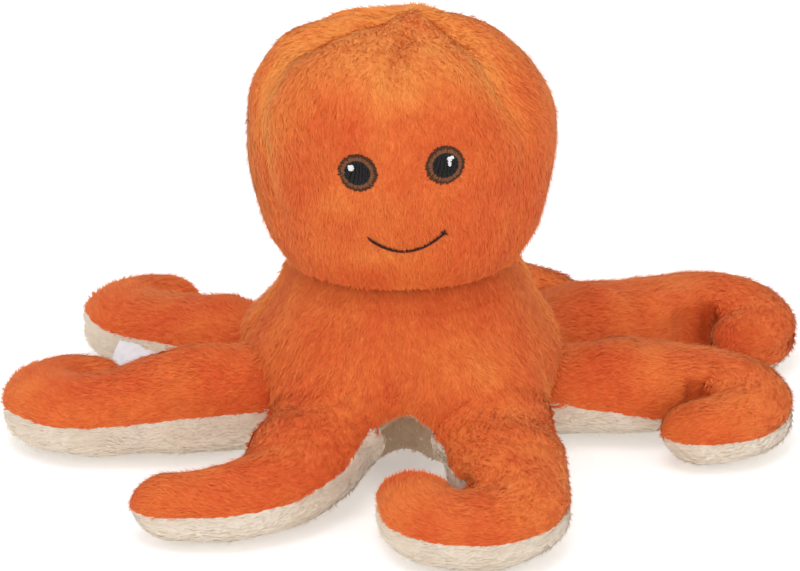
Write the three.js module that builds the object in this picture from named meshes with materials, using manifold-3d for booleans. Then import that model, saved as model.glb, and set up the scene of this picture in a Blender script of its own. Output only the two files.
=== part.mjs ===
// Plush octopus, about 24 cm across, sitting on its eight curled arms.
// Millimetres, +Z up, face towards -Y. The origin is the middle of the flat patch of the sole
// that the body rests on. Every plush panel is a shell as thick as its backing and pile together.

import * as THREE from 'three';
import { mergeVertices } from 'three/addons/utils/BufferGeometryUtils.js';
import Module from 'manifold-3d';

const wasm = await Module();
wasm.setup();

// Cloth, seams and clearances
const plushThickness = 3.2;
const seamGap = 0.3;
const stuffingGap = 0.3;
const neckGap = 0.8;
const armGap = 1.3;
const weldDistance = 0.001;

// Body: a cream sole like a shallow bowl, and two orange panels from the skirt seam to the neck
const soleFlatRadius = 28;
const skirtRadius = 44;
const skirtHeight = 16;
const bodyRadius = 46.5;
const bodyWidestHeight = 30;
const rearFullness = 7;
const fullnessAngle = THREE.MathUtils.degToRad(122);
const pouchRadius = 19;
const pouchHeight = 13;

// Neck: the head rocks on a ball of stuffing whose centre lies low in the body
const neckBallRadius = 41;
const neckCoreRadius = 32;
const neckBallHeight = 33.5;
const neckRadius = 35;
const nodRange = THREE.MathUtils.degToRad(12);
const shoulderShare = 0.8;

// Head: a pear on its narrow end, four gores and a dart above the face
const headRadius = 46.3;
const headHeight = 75.3;
const headDepthShare = 0.95;
const headLean = THREE.MathUtils.degToRad(-1.1);
const headSway = 2.5;
const headSwayShare = 0.6;
const headOutlineShares = [
  [0.783, 0.07], [0.883, 0.185], [0.954, 0.33], [1, 0.5], [0.99, 0.67],
  [0.922, 0.785], [0.802, 0.885], [0.655, 0.955], [0.355, 0.99], [0, 1],
];
const headSeamDip = 1.1;
const headSeamWidth = THREE.MathUtils.degToRad(7);
const headSeamAngles = { right: -36, left: -152, rearLeft: 152, rearRight: 34 };
const fullTurn = 360;

// Face: embroidery sunk into the pile, sewn on a little higher towards the right
const eyeTilt = THREE.MathUtils.degToRad(4.2);
const mouthTilt = THREE.MathUtils.degToRad(2.6);
const eyeOuterRadius = 5.6;
const eyePupilRadius = 3.8;
const eyeHighlightRadius = 1;
const eyeSpacing = 25.5;
const eyeHeight = 67.7;
const eyeOffset = 0.2;
const highlightRise = 1.5;
const highlightShift = 0.7;
const embroideryThickness = 1.2;
const embroideryDepth = 1.5;
const wellMargin = 0.4;
const threadGap = 0.2;
const mouthWidth = 22.5;
const mouthHeight = 46.4;
const mouthSag = 4.8;
const mouthThread = 1.2;
const mouthOffset = 1.15;

// Arms: a stem, a hook that curls clockwise seen from above, and a round end
const armBallRadius = 13.5;
const armSkinStart = THREE.MathUtils.degToRad(35);
const armRootHeight = 14;
const armHalfWidth = 18;
const armHalfHeight = 14.3;
const armEndHalfWidth = 12.3;
const armEndHalfHeight = 10;
const armSwellShare = 0.24;
const armMiddleShare = 0.58;
const armTaperShare = 0.55;
const armDrawShare = 0.35;
const foldGap = 1;
const floorGap = 0.4;
const armRootReach = 26;
const armLift = THREE.MathUtils.degToRad(25);
const armDroop = THREE.MathUtils.degToRad(15);

const armRootRadius = 46;
const armRootHalfWidth = 16;
const armStem = 46;
const armHookRadius = 13.6;
const armEnd = 3;

// Each arm: where its root sits, which way it sets off and how far it curls, in degrees, and its
// shares of the root's radius, the root's half width, the stem, the hook's radius and the end
const arms = [
  { name: 'front_right', angle: -53.5, heading: -82.5, turn: 178, shares: [0.98, 1.06, 1.07, 1.08, 3.3] },
  { name: 'right', angle: 0, heading: 5, turn: 172, shares: [1, 1, 0.94, 1, 1.4] },
  { name: 'rear_right', angle: 41, heading: 35, turn: 150, shares: [1.09, 0.94, 1.28, 1.03, 1] },
  { name: 'back_right', angle: 75, heading: 70, turn: 100, shares: [1.13, 0.88, 0.48, 1.07, 0.7] },
  { name: 'back_left', angle: 109, heading: 98, turn: 42, shares: [1.13, 0.88, 0.61, 2.35, 1.3] },
  { name: 'rear_left', angle: 147, heading: 148, turn: 128, shares: [1.07, 0.94, 0.99, 0.92, 1] },
  { name: 'left', angle: -165.5, heading: 186, turn: 165, shares: [1, 1, 1.09, 0.92, 1.6] },
  { name: 'front_left', angle: -122, heading: -109, turn: 74, shares: [0.98, 1.06, 0.52, 2.2, 2] },
].map(({ shares: [radius, root, stem, hook, end], ...arm }) => ({
  ...arm,
  radius: radius * armRootRadius,
  root: root * armRootHalfWidth,
  stem: stem * armStem,
  hook: hook * armHookRadius,
  end: end * armEnd,
}));

// Care label: blank satin tape in the side seam of the rear left arm
const labelLength = 26;
const labelDrop = 11.5;
const labelThickness = 0.6;
const labelSlant = 3;
const labelStart = 20;

// Facets
const headFacets = 32;
const headRows = 11;
const bodyFacets = 32;
const ballFacets = 16;
const sweepFacets = 12;
const armRingFacets = 4;
const armHookFacetTurn = 28;
const stuffingFacets = armRingFacets * 2;
const stuffingRoundFacets = 24;
const pouchFacets = 20;
const eyeFacets = 16;
const mouthSteps = 12;
const edgeSteps = 5;
const shoulderSteps = 3;
const neckSteps = 6;
const hollowSteps = 4;
const pouchSteps = 5;
const rootSteps = 3;
const tipSteps = 3;
const leastStemSteps = 3;
const leastHookSteps = 4;
const labelRows = 2;
const labelColumns = 3;

const orange = { color: 0xd95f2b, roughness: 0.95, metalness: 0 };
const cream = { color: 0xe9dcc3, roughness: 0.95, metalness: 0 };
const fibre = { color: 0xf4f2ec, roughness: 1, metalness: 0 };
const pouchCloth = { color: 0xd8d4cb, roughness: 0.9, metalness: 0 };
const brownThread = { color: 0x5a3420, roughness: 0.5, metalness: 0 };
const blackThread = { color: 0x1c1716, roughness: 0.45, metalness: 0 };
const whiteThread = { color: 0xf1eff2, roughness: 0.45, metalness: 0 };
const satin = { color: 0xe3e1ea, roughness: 0.4, metalness: 0 };

const octopus = new THREE.Group();

function addPiece(parent, name, geometry, finish) {
  const mesh = new THREE.Mesh(geometry, new THREE.MeshStandardMaterial(finish));
  mesh.name = name;
  parent.add(mesh);
  return mesh;
}

// Closed solids from grids of points

function cleanGeometry(positions) {
  const soup = new THREE.BufferGeometry();
  soup.setAttribute('position', new THREE.Float32BufferAttribute(positions, 3));
  const merged = mergeVertices(soup, weldDistance);
  const index = merged.index.array;
  const kept = [];
  for (let i = 0; i < index.length; i += 3) {
    const [a, b, c] = [index[i], index[i + 1], index[i + 2]];
    if (a !== b && b !== c && c !== a) kept.push(a, b, c);
  }
  merged.setIndex(kept);
  return facingOut(merged);
}

function signedVolume(geometry) {
  const p = geometry.attributes.position;
  const index = geometry.index.array;
  const [a, b, c] = [new THREE.Vector3(), new THREE.Vector3(), new THREE.Vector3()];
  let total = 0;
  for (let i = 0; i < index.length; i += 3) {
    a.fromBufferAttribute(p, index[i]);
    b.fromBufferAttribute(p, index[i + 1]);
    c.fromBufferAttribute(p, index[i + 2]);
    total += a.dot(b.cross(c)) / 6;
  }
  return total;
}

function facingOut(geometry) {
  if (signedVolume(geometry) < 0) {
    const index = geometry.index.array;
    for (let i = 0; i < index.length; i += 3) {
      [index[i + 1], index[i + 2]] = [index[i + 2], index[i + 1]];
    }
  }
  return geometry;
}

function pushQuad(positions, a, b, c, d) {
  for (const point of [a, b, c, a, c, d]) positions.push(point.x, point.y, point.z);
}

// A solid between two grids of points of the same size. Rows run along u and columns along v. A grid
// that is closed along v has no side walls, and rows that shrink to one point close by themselves.
function solidBetween(outer, inner, closed) {
  const positions = [];
  const rows = outer.length;
  const columns = outer[0].length;
  for (let i = 0; i < rows - 1; i += 1) {
    for (let j = 0; j < columns - 1; j += 1) {
      pushQuad(positions, outer[i][j], outer[i + 1][j], outer[i + 1][j + 1], outer[i][j + 1]);
      pushQuad(positions, inner[i][j], inner[i][j + 1], inner[i + 1][j + 1], inner[i + 1][j]);
    }
  }
  for (let j = 0; j < columns - 1; j += 1) {
    const last = rows - 1;
    pushQuad(positions, outer[0][j], outer[0][j + 1], inner[0][j + 1], inner[0][j]);
    pushQuad(positions, outer[last][j + 1], outer[last][j], inner[last][j], inner[last][j + 1]);
  }
  for (let i = 0; i < rows - 1 && !closed; i += 1) {
    const last = columns - 1;
    pushQuad(positions, outer[i + 1][0], outer[i][0], inner[i][0], inner[i + 1][0]);
    pushQuad(positions, outer[i][last], outer[i + 1][last], inner[i + 1][last], inner[i][last]);
  }
  return cleanGeometry(positions);
}

// A solid inside a stack of closed rings whose first and last rings shrink to a point
function solidOfRings(rings) {
  const positions = [];
  for (let i = 0; i < rings.length - 1; i += 1) {
    for (let j = 0; j < rings[i].length - 1; j += 1) {
      pushQuad(positions, rings[i][j], rings[i + 1][j], rings[i + 1][j + 1], rings[i][j + 1]);
    }
  }
  return cleanGeometry(positions);
}

function grid(rows, columns, pointAt) {
  return Array.from({ length: rows + 1 }, (_, i) => (
    Array.from({ length: columns + 1 }, (__, j) => pointAt(i / rows, j / columns, i))
  ));
}

// Cutting with manifold solids

function toManifold(geometry) {
  const bare = geometry.clone();
  bare.deleteAttribute('normal');
  bare.deleteAttribute('uv');
  const merged = mergeVertices(bare, weldDistance);
  return new wasm.Manifold(new wasm.Mesh({
    numProp: 3,
    vertProperties: new Float32Array(merged.attributes.position.array),
    triVerts: new Uint32Array(merged.index.array),
  }));
}

function fromManifold(solid) {
  const mesh = solid.getMesh();
  const geometry = new THREE.BufferGeometry();
  geometry.setAttribute('position', new THREE.Float32BufferAttribute(mesh.vertProperties, 3));
  geometry.setIndex(Array.from(mesh.triVerts));
  return geometry;
}

function cutAway(geometry, tools) {
  return fromManifold(tools.reduce((solid, tool) => solid.subtract(toManifold(tool)), toManifold(geometry)));
}

// Outlines of the body and head, as points of a half section: x is the radius, y the height

function arcPoints(centre, radii, from, to, steps) {
  return Array.from({ length: steps + 1 }, (_, i) => {
    const angle = THREE.MathUtils.lerp(from, to, i / steps);
    return new THREE.Vector2(centre.x + radii.x * Math.cos(angle), centre.y + radii.y * Math.sin(angle));
  });
}

function movedInward(points, distance) {
  return points.map((point, i) => {
    const before = points[Math.max(i - 1, 0)];
    const after = points[Math.min(i + 1, points.length - 1)];
    const along = after.clone().sub(before).normalize();
    return new THREE.Vector2(point.x - along.y * distance, point.y + along.x * distance);
  });
}

// Angle from the vertical at which the neck ball is as wide as the neck
const neckRimAngle = Math.asin(neckRadius / neckBallRadius);
const shoulderAngle = neckRimAngle + nodRange;
const shoulderRadius = neckBallRadius * Math.sin(shoulderAngle);
const shoulderHeight = neckBallHeight + neckBallRadius * Math.cos(shoulderAngle);
const quarter = Math.PI / 2;

function neckArc(radius, fromAngle, toAngle, steps) {
  const centre = new THREE.Vector2(0, neckBallHeight);
  return arcPoints(centre, { x: radius, y: radius }, quarter - fromAngle, quarter - toAngle, steps);
}

// Half section of the body from the middle of the sole out, up round its edge to the skirt seam, over
// the widest part and the shoulder, and along the neck ball to the rim
const skirtIndex = edgeSteps + 1;

function bodyOutline() {
  const edge = arcPoints(
    new THREE.Vector2(soleFlatRadius, skirtHeight),
    { x: skirtRadius - soleFlatRadius, y: skirtHeight },
    -quarter, 0, edgeSteps,
  );
  const shoulder = arcPoints(
    new THREE.Vector2(shoulderRadius, bodyWidestHeight),
    { x: bodyRadius - shoulderRadius, y: shoulderHeight - bodyWidestHeight },
    0, quarter * shoulderShare, shoulderSteps,
  );
  const underHead = neckArc(neckBallRadius, shoulderAngle, neckRimAngle, 2);
  return [new THREE.Vector2(0, 0), ...edge, ...shoulder, ...underHead];
}

const bodySection = bodyOutline();

// The body is fuller behind and to its left, where it is widest. The fullness follows the outer
// face of the cloth.
function bodyPoint(place, outerRadius, angle) {
  const share = (outerRadius - shoulderRadius) / (bodyRadius - shoulderRadius);
  const fullness = Math.max(0, Math.cos(angle - fullnessAngle)) * rearFullness
    * THREE.MathUtils.clamp(share, 0, 1);
  return new THREE.Vector3(
    place.x * Math.cos(angle) + fullness * Math.cos(fullnessAngle),
    place.x * Math.sin(angle) + fullness * Math.sin(fullnessAngle),
    place.y,
  );
}

// Rings of the body's surface, a distance under its outer face, from one row of the section to another
function bodyRings(inset, firstRow, lastRow, from, to, facets) {
  const moved = movedInward(bodySection, inset);
  moved[0].x = 0;
  return grid(lastRow - firstRow, facets, (u, v, i) => {
    const row = firstRow + i;
    return bodyPoint(moved[row], bodySection[row].x, THREE.MathUtils.lerp(from, to, v));
  });
}

function bodyPanel(from, to) {
  const last = bodySection.length - 1;
  const face = (inset) => {
    const rings = bodyRings(inset, skirtIndex, last, from, to, bodyFacets / 2);
    rings[0].forEach((point) => { point.z += seamGap; });
    return rings;
  };
  return solidBetween(face(0), face(plushThickness), false);
}

function armRoot(arm) {
  const angle = THREE.MathUtils.degToRad(arm.angle);
  return new THREE.Vector3(arm.radius * Math.cos(angle), arm.radius * Math.sin(angle), armRootHeight);
}

// The hollow in the body that the round end of an arm turns in, wide across and round about the axis
// that it turns on
function armSocket(arm, gap) {
  const ball = new THREE.SphereGeometry(armBallRadius + gap, ballFacets, ballFacets / 2);
  return seatedAtRoot(arm, ball.scale(1, (arm.root + gap) / (armBallRadius + gap), 1));
}

// The socket and the room that the arm's root sweeps as it lifts and droops
function armHole(arm) {
  const sweeps = [-armLift, (armDroop - armLift) / 2, armDroop].map((tilt) => (
    seatedAtRoot(arm, armSweep(arm).rotateY(tilt))
  ));
  return [armSocket(arm, armGap), ...sweeps];
}

function seatedAtRoot(arm, solid) {
  const root = armRoot(arm);
  return solid.rotateZ(THREE.MathUtils.degToRad(arm.heading)).translate(root.x, root.y, root.z);
}

function roundStation(distance, wide, high) {
  return {
    centre: new THREE.Vector3(distance, 0, 0),
    sideways: new THREE.Vector3(0, 1, 0),
    wide,
    tight: wide,
    high,
  };
}

function armSweep(arm) {
  const rings = [0, 1 / 3, 2 / 3, 1].map((share) => {
    const distance = share * armRootReach;
    const along = distance / armLength(arm);
    const wide = halfWidth(arm, along) + armGap;
    return roundStation(distance, wide, halfHeight(along) + armGap);
  });
  const closed = [roundStation(0, 0, 0), ...rings, roundStation(armRootReach, 0, 0)];
  return solidOfRings(armRings(closed, 0, Math.PI * 2, sweepFacets, 0));
}

// A cushion of pellets, flat on the sole. Its pocket is larger all round, and open below.
function pouchOutline(extra) {
  const rest = plushThickness + stuffingGap;
  const dome = arcPoints(
    new THREE.Vector2(0, rest),
    { x: pouchRadius + extra, y: pouchHeight + extra },
    quarter, 0, pouchSteps,
  );
  dome[0].x = 0;
  const below = rest - extra * 2;
  return [...dome, new THREE.Vector2(pouchRadius + extra, below), new THREE.Vector2(0, below)];
}

function turned(outline, facets, pointAt = turnedPoint) {
  return solidOfRings(grid(outline.length - 1, facets, (u, v, i) => pointAt(outline[i], v * Math.PI * 2)));
}

function turnedPoint(point, angle) {
  return new THREE.Vector3(point.x * Math.cos(angle), point.x * Math.sin(angle), point.y);
}

function addBody() {
  const holes = arms.flatMap(armHole);
  const sockets = arms.map((arm) => armSocket(arm, armGap * 2));
  const seamAngle = seamGap / bodyRadius / 2;
  const front = bodyPanel(-Math.PI + seamAngle, -seamAngle);
  const back = bodyPanel(seamAngle, Math.PI - seamAngle);
  addPiece(octopus, 'body_front_panel', cutAway(front, holes), orange);
  addPiece(octopus, 'body_back_panel', cutAway(back, holes), orange);

  const full = Math.PI * 2;
  const sole = solidBetween(
    bodyRings(0, 0, skirtIndex, 0, full, bodyFacets),
    bodyRings(plushThickness, 0, skirtIndex, 0, full, bodyFacets),
    true,
  );
  addPiece(octopus, 'body_sole', cutAway(sole, holes), cream);

  const pouchPocket = turned(pouchOutline(stuffingGap), pouchFacets);
  addPiece(octopus, 'body_stuffing', cutAway(bodyStuffing(), [...sockets, pouchPocket]), fibre);
  addPiece(octopus, 'pellet_pouch', turned(pouchOutline(0), pouchFacets), pouchCloth);
}

// The filling follows the inside of the panels and sole, and its top is hollow for the neck
function bodyStuffing() {
  const full = Math.PI * 2;
  const last = bodySection.length - 1;
  const hollow = neckArc(neckCoreRadius, neckRimAngle, 0, hollowSteps);
  return solidOfRings([
    ...bodyRings(plushThickness + stuffingGap, 0, last, 0, full, bodyFacets),
    ...grid(hollow.length - 1, bodyFacets, (u, v, i) => turnedPoint(hollow[i], full * v)),
  ]);
}

// The neck is a dome of filling that turns on the body and that the head nods on
function addNeck() {
  const edgeAngle = neckRimAngle - seamGap * 2 / neckBallRadius;
  const outline = [
    ...neckArc(neckBallRadius, 0, edgeAngle, neckSteps),
    ...neckArc(neckCoreRadius + stuffingGap, edgeAngle, 0, hollowSteps),
  ];
  addPiece(octopus, 'neck_stuffing', turned(outline, bodyFacets), fibre);
}

// Head, in a frame whose origin is the middle of the neck ball

const head = new THREE.Group();
head.position.z = neckBallHeight;
head.rotation.y = headLean;
octopus.add(head);

const headRimHeight = (neckBallRadius + neckGap) * Math.cos(neckRimAngle);

function headOutline(inset, rows = headRows) {
  const rimRadius = (neckBallRadius + neckGap) * Math.sin(neckRimAngle);
  const shape = new THREE.SplineCurve([
    new THREE.Vector2(rimRadius, headRimHeight),
    ...headOutlineShares.map(([across, up]) => (
      new THREE.Vector2(across * headRadius, headRimHeight + up * headHeight)
    )),
  ]);
  const points = shape.getPoints(rows);
  if (inset === 0) return points;
  const inside = movedInward(points, inset);
  const rimAngle = Math.asin((rimRadius - inset) / (neckBallRadius + neckGap));
  inside[0].set(rimRadius - inset, (neckBallRadius + neckGap) * Math.cos(rimAngle));
  inside[1].set(inside[1].x, Math.max(inside[1].y, inside[0].y + inset / 2));
  inside[points.length - 1].x = 0;
  return inside;
}

function seamDip(angle) {
  return Object.values(headSeamAngles).reduce((sum, degrees) => {
    let apart = angle - THREE.MathUtils.degToRad(degrees);
    apart = Math.atan2(Math.sin(apart), Math.cos(apart));
    return sum + headSeamDip * Math.exp(-((apart / headSeamWidth) ** 2));
  }, 0);
}

// The head is round at the neck, a little flatter from front to back at the height of the eyes, and
// leans over towards its crown
function headPoint(outlinePoint, angle) {
  const rise = THREE.MathUtils.clamp((outlinePoint.y - headRimHeight) / (headHeight / 3), 0, 1);
  const depth = THREE.MathUtils.lerp(1, headDepthShare, rise);
  const radius = outlinePoint.x - seamDip(angle) * rise * Math.min(1, outlinePoint.x / headRadius);
  const swayStart = headRimHeight + headHeight * headSwayShare;
  const crown = headRimHeight + headHeight;
  const sway = headSway * THREE.MathUtils.smoothstep(outlinePoint.y, swayStart, crown);
  return new THREE.Vector3(
    Math.max(0, radius) * Math.cos(angle) - sway,
    Math.max(0, radius) * Math.sin(angle) * depth,
    outlinePoint.y,
  );
}

function headPanel(fromDegrees, toDegrees) {
  const seamAngle = seamGap / headRadius / 2;
  const from = THREE.MathUtils.degToRad(fromDegrees) + seamAngle;
  const to = THREE.MathUtils.degToRad(toDegrees) - seamAngle;
  const facets = Math.max(4, Math.round((headFacets * (to - from)) / (Math.PI * 2)));
  const trim = seamGap / 2;
  const at = (outline) => grid(outline.length - 1, facets, (u, v, i) => {
    const point = outline[i].clone();
    if (i === outline.length - 1) point.x = trim;
    return headPoint(point, THREE.MathUtils.lerp(from, to, v));
  });
  return solidBetween(at(headOutline(0)), at(headOutline(plushThickness)), false);
}

// A point of the face: sideways and up from the middle of the face, and out from its surface
const faceOutline = headOutline(0, headRows * 5);

function facePoint(across, up, out) {
  const height = headRimHeight + up;
  let i = 0;
  while (faceOutline[i + 1].y < height) i += 1;
  const [low, high] = [faceOutline[i], faceOutline[i + 1]];
  const share = (height - low.y) / (high.y - low.y);
  const radius = THREE.MathUtils.lerp(low.x, high.x, share);
  const angle = Math.asin(across / radius) - quarter;
  const slope = Math.atan2(low.x - high.x, high.y - low.y);
  const surface = headPoint(new THREE.Vector2(radius, height), angle);
  const outward = new THREE.Vector3(
    Math.cos(angle) * Math.cos(slope),
    Math.sin(angle) * Math.cos(slope),
    Math.sin(slope),
  );
  return surface.addScaledVector(outward, out);
}

// A flat patch of satin stitch between two radii, following the face
function stitchedRing(centre, innerRadius, outerRadius, bottom, top) {
  const at = (out) => grid(1, eyeFacets, (u, v) => {
    const radius = THREE.MathUtils.lerp(innerRadius, outerRadius, u);
    const turn = v * Math.PI * 2;
    return facePoint(centre.across + radius * Math.cos(turn), centre.up + radius * Math.sin(turn), out);
  });
  return solidBetween(at(top), at(bottom), true);
}

function stitchedDisc(centre, radius, bottom, top) {
  const middle = facePoint(centre.across, centre.up, top);
  const under = facePoint(centre.across, centre.up, bottom);
  const edge = (out) => grid(0, eyeFacets, (u, v) => {
    const turn = v * Math.PI * 2;
    return facePoint(centre.across + radius * Math.cos(turn), centre.up + radius * Math.sin(turn), out);
  })[0];
  const point = (place) => Array.from({ length: eyeFacets + 1 }, () => place.clone());
  return solidOfRings([point(middle), edge(top), edge(bottom), point(under)]);
}

function eyeCentre(side) {
  const lean = side * eyeSpacing / 2;
  return { across: eyeOffset + lean, up: eyeHeight - headRimHeight + Math.tan(eyeTilt) * lean };
}

function mouthLine(steps) {
  return Array.from({ length: steps + 1 }, (_, i) => {
    const side = i / steps * 2 - 1;
    const across = side * mouthWidth / 2;
    const up = mouthHeight - headRimHeight - mouthSag * (1 - side ** 2) + Math.tan(mouthTilt) * across;
    return { across: mouthOffset + across, up };
  });
}

// A band along the smile, half its width to each side, between two depths
function mouthBand(halfThread, bottom, top, overrun) {
  const line = mouthLine(mouthSteps);
  line[0].across -= overrun;
  line[mouthSteps].across += overrun;
  const at = (out) => line.map((point, i) => {
    const before = line[Math.max(i - 1, 0)];
    const after = line[Math.min(i + 1, mouthSteps)];
    const along = new THREE.Vector2(after.across - before.across, after.up - before.up).normalize();
    return [-halfThread, halfThread].map((offset) => facePoint(
      point.across - along.y * offset,
      point.up + along.x * offset,
      out,
    ));
  });
  return solidBetween(at(top), at(bottom), false);
}

function addFace() {
  const top = embroideryThickness - embroideryDepth;
  const floor = -embroideryDepth - threadGap;
  const wells = [-1, 1].map((side) => (
    stitchedDisc(eyeCentre(side), eyeOuterRadius + wellMargin, floor, wellMargin)
  ));
  const groove = mouthBand(mouthThread / 2 + wellMargin, floor, wellMargin, wellMargin);
  const panel = headPanel(headSeamAngles.left, headSeamAngles.right);
  addPiece(head, 'face_panel', cutAway(panel, [...wells, groove]), orange);

  for (const [name, side] of [['left', -1], ['right', 1]]) {
    const centre = eyeCentre(side);
    const glint = { across: centre.across + side * highlightShift, up: centre.up + highlightRise };
    const irisInside = eyePupilRadius + threadGap;
    const pupilTop = top - threadGap;
    const iris = stitchedRing(centre, irisInside, eyeOuterRadius, -embroideryDepth, top);
    const pocket = stitchedDisc(
      glint, eyeHighlightRadius + threadGap, (pupilTop - embroideryDepth) / 2 - threadGap, wellMargin,
    );
    const pupil = cutAway(stitchedDisc(centre, eyePupilRadius, -embroideryDepth, pupilTop), [pocket]);
    addPiece(head, `eye_${name}_iris`, iris, brownThread);
    addPiece(head, `eye_${name}_pupil`, pupil, blackThread);
    addPiece(
      head,
      `eye_${name}_highlight`,
      stitchedDisc(glint, eyeHighlightRadius, (pupilTop - embroideryDepth) / 2, top),
      whiteThread,
    );
  }
  addPiece(head, 'mouth_stitching', mouthBand(mouthThread / 2, -embroideryDepth, top, 0), blackThread);
}

function addHead() {
  addPiece(head, 'head_right_panel', headPanel(headSeamAngles.right, headSeamAngles.rearRight), orange);
  addPiece(head, 'head_back_panel', headPanel(headSeamAngles.rearRight, headSeamAngles.rearLeft), orange);
  const leftAgain = headSeamAngles.left + fullTurn;
  addPiece(head, 'head_left_panel', headPanel(headSeamAngles.rearLeft, leftAgain), orange);

  const inside = headOutline(plushThickness + stuffingGap + headSeamDip / 2);
  const hollowRadius = neckBallRadius + neckGap;
  const underside = neckArc(hollowRadius, 0, Math.asin(inside[0].x / hollowRadius), neckSteps);
  const hollow = underside.map((point) => new THREE.Vector2(point.x, point.y - neckBallHeight));
  const outline = [...hollow.slice(0, -1), ...inside];
  addPiece(head, 'head_stuffing', turned(outline, stuffingRoundFacets, headPoint), fibre);
}

// Arms, each in a frame at its root: +X is the way it sets off

// Place and direction at a distance along the arm, in plan
function spineAt(arm, distance) {
  const arcLength = arm.hook * THREE.MathUtils.degToRad(arm.turn);
  const straight = Math.min(distance, arm.stem);
  const turnedBy = THREE.MathUtils.clamp((distance - arm.stem) / arm.hook, 0, arcLength / arm.hook);
  const beyond = Math.max(0, distance - arm.stem - arcLength);
  const x = straight + arm.hook * Math.sin(turnedBy) + beyond * Math.cos(turnedBy);
  const y = -arm.hook * (1 - Math.cos(turnedBy)) - beyond * Math.sin(turnedBy);
  return { x, y, heading: -turnedBy };
}

function armLength(arm) {
  return arm.stem + arm.hook * THREE.MathUtils.degToRad(arm.turn) + arm.end;
}

// Half width or half height along the arm: from the root's to full at the swell, then tapering
function tapered(share, root, full, end) {
  const middle = THREE.MathUtils.lerp(full, end, armTaperShare);
  if (share < armSwellShare) {
    return THREE.MathUtils.lerp(root, full, THREE.MathUtils.smoothstep(share, 0, armSwellShare));
  }
  if (share < armMiddleShare) {
    const along = (share - armSwellShare) / (armMiddleShare - armSwellShare);
    return THREE.MathUtils.lerp(full, middle, along);
  }
  return THREE.MathUtils.lerp(middle, end, (share - armMiddleShare) / (1 - armMiddleShare));
}

function halfWidth(arm, share) {
  return tapered(share, arm.root, armHalfWidth, armEndHalfWidth);
}

function halfHeight(share) {
  return tapered(share, armBallRadius, armHalfHeight, armEndHalfHeight);
}

// Half width on the inside of the curl, drawn in towards the hook so that the cloth doesn't cross itself
function tightWidth(arm, distance, wide) {
  const drawnIn = THREE.MathUtils.smoothstep(distance, arm.stem * armDrawShare, arm.stem);
  return Math.min(wide, THREE.MathUtils.lerp(armHalfWidth, arm.hook - foldGap, drawnIn));
}

// Stations from the root to the round end. Each has its place, its sideways direction and half sizes,
// with its own half width on the inside of the curl.
function armStations(arm, inset) {
  const length = armLength(arm);
  const stemSteps = Math.max(leastStemSteps, Math.round(arm.stem / armHalfHeight));
  const hookSteps = Math.max(leastHookSteps, Math.round(arm.turn / armHookFacetTurn));
  const stems = Array.from({ length: stemSteps }, (_, i) => (arm.stem * i) / stemSteps);
  const hooks = Array.from({ length: hookSteps + 1 }, (_, i) => (
    arm.stem + ((length - arm.end - arm.stem) * i) / hookSteps
  ));
  const stations = [...stems, ...hooks, length].map((distance) => {
    const share = distance / length;
    const { x, y, heading } = spineAt(arm, distance);
    const high = halfHeight(share);
    const wide = halfWidth(arm, share);
    return {
      centre: new THREE.Vector3(x, y, high + floorGap - armRootHeight),
      sideways: new THREE.Vector3(-Math.sin(heading), Math.cos(heading), 0),
      wide: wide - inset,
      tight: tightWidth(arm, distance, wide) - inset,
      high: high - inset,
    };
  });
  stations[0].centre.z = 0;
  const last = stations[stations.length - 1];
  const onward = new THREE.Vector3(last.sideways.y, -last.sideways.x, 0);
  for (let i = 1; i <= tipSteps; i += 1) {
    const turn = (quarter * i) / tipSteps;
    const shrink = i === tipSteps ? 0 : Math.cos(turn);
    stations.push({
      centre: last.centre.clone().addScaledVector(onward, last.wide * Math.sin(turn)),
      sideways: last.sideways,
      wide: last.wide * shrink,
      tight: last.tight * shrink,
      high: last.high * shrink,
    });
  }
  return stations;
}

function armRings(stations, from, to, facets, lift) {
  return grid(stations.length - 1, facets, (u, v, i) => {
    const { centre, sideways, wide, tight, high } = stations[i];
    const angle = THREE.MathUtils.lerp(from, to, v);
    const across = Math.cos(angle) * (Math.cos(angle) > 0 ? wide : tight);
    const point = centre.clone().addScaledVector(sideways, across);
    point.z += high * Math.sin(angle) + lift;
    return point;
  });
}

// The round root, from an angle off its inner end to where it is widest
function rootStations(arm, inset, startAngle, steps) {
  return Array.from({ length: steps }, (_, i) => {
    const turn = THREE.MathUtils.lerp(startAngle, quarter, i / steps);
    const grown = turn === 0 ? 0 : Math.sin(turn);
    const back = -(armBallRadius - inset) * Math.cos(turn);
    return roundStation(back, (arm.root - inset) * grown, (armBallRadius - inset) * grown);
  });
}

function armHalf(arm, from, to, lift) {
  const skin = (inset) => armRings(
    [...rootStations(arm, inset, armSkinStart, rootSteps - 1), ...armStations(arm, inset)],
    from, to, armRingFacets, lift,
  );
  return solidBetween(skin(0), skin(plushThickness), false);
}

function armStuffing(arm) {
  const inset = plushThickness + stuffingGap;
  const stations = [...rootStations(arm, inset, 0, rootSteps), ...armStations(arm, inset)];
  return solidOfRings(armRings(stations, 0, Math.PI * 2, stuffingFacets, 0));
}

// A blank tape sewn into the seam on the outside of the curl, hanging down in front of the sole
function careLabel(arm) {
  const seamHeight = halfHeight(0) + floorGap - armRootHeight;
  const at = (out) => grid(labelRows, labelColumns, (u, v) => {
    const distance = labelStart + labelLength * v;
    const { x, y, heading } = spineAt(arm, distance);
    const sideways = new THREE.Vector3(-Math.sin(heading), Math.cos(heading), 0);
    const wide = halfWidth(arm, distance / armLength(arm));
    const point = new THREE.Vector3(x, y, seamHeight - labelDrop * u);
    return point.addScaledVector(sideways, wide + seamGap + out + labelSlant * u);
  });
  return solidBetween(at(labelThickness), at(0), false);
}

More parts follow.
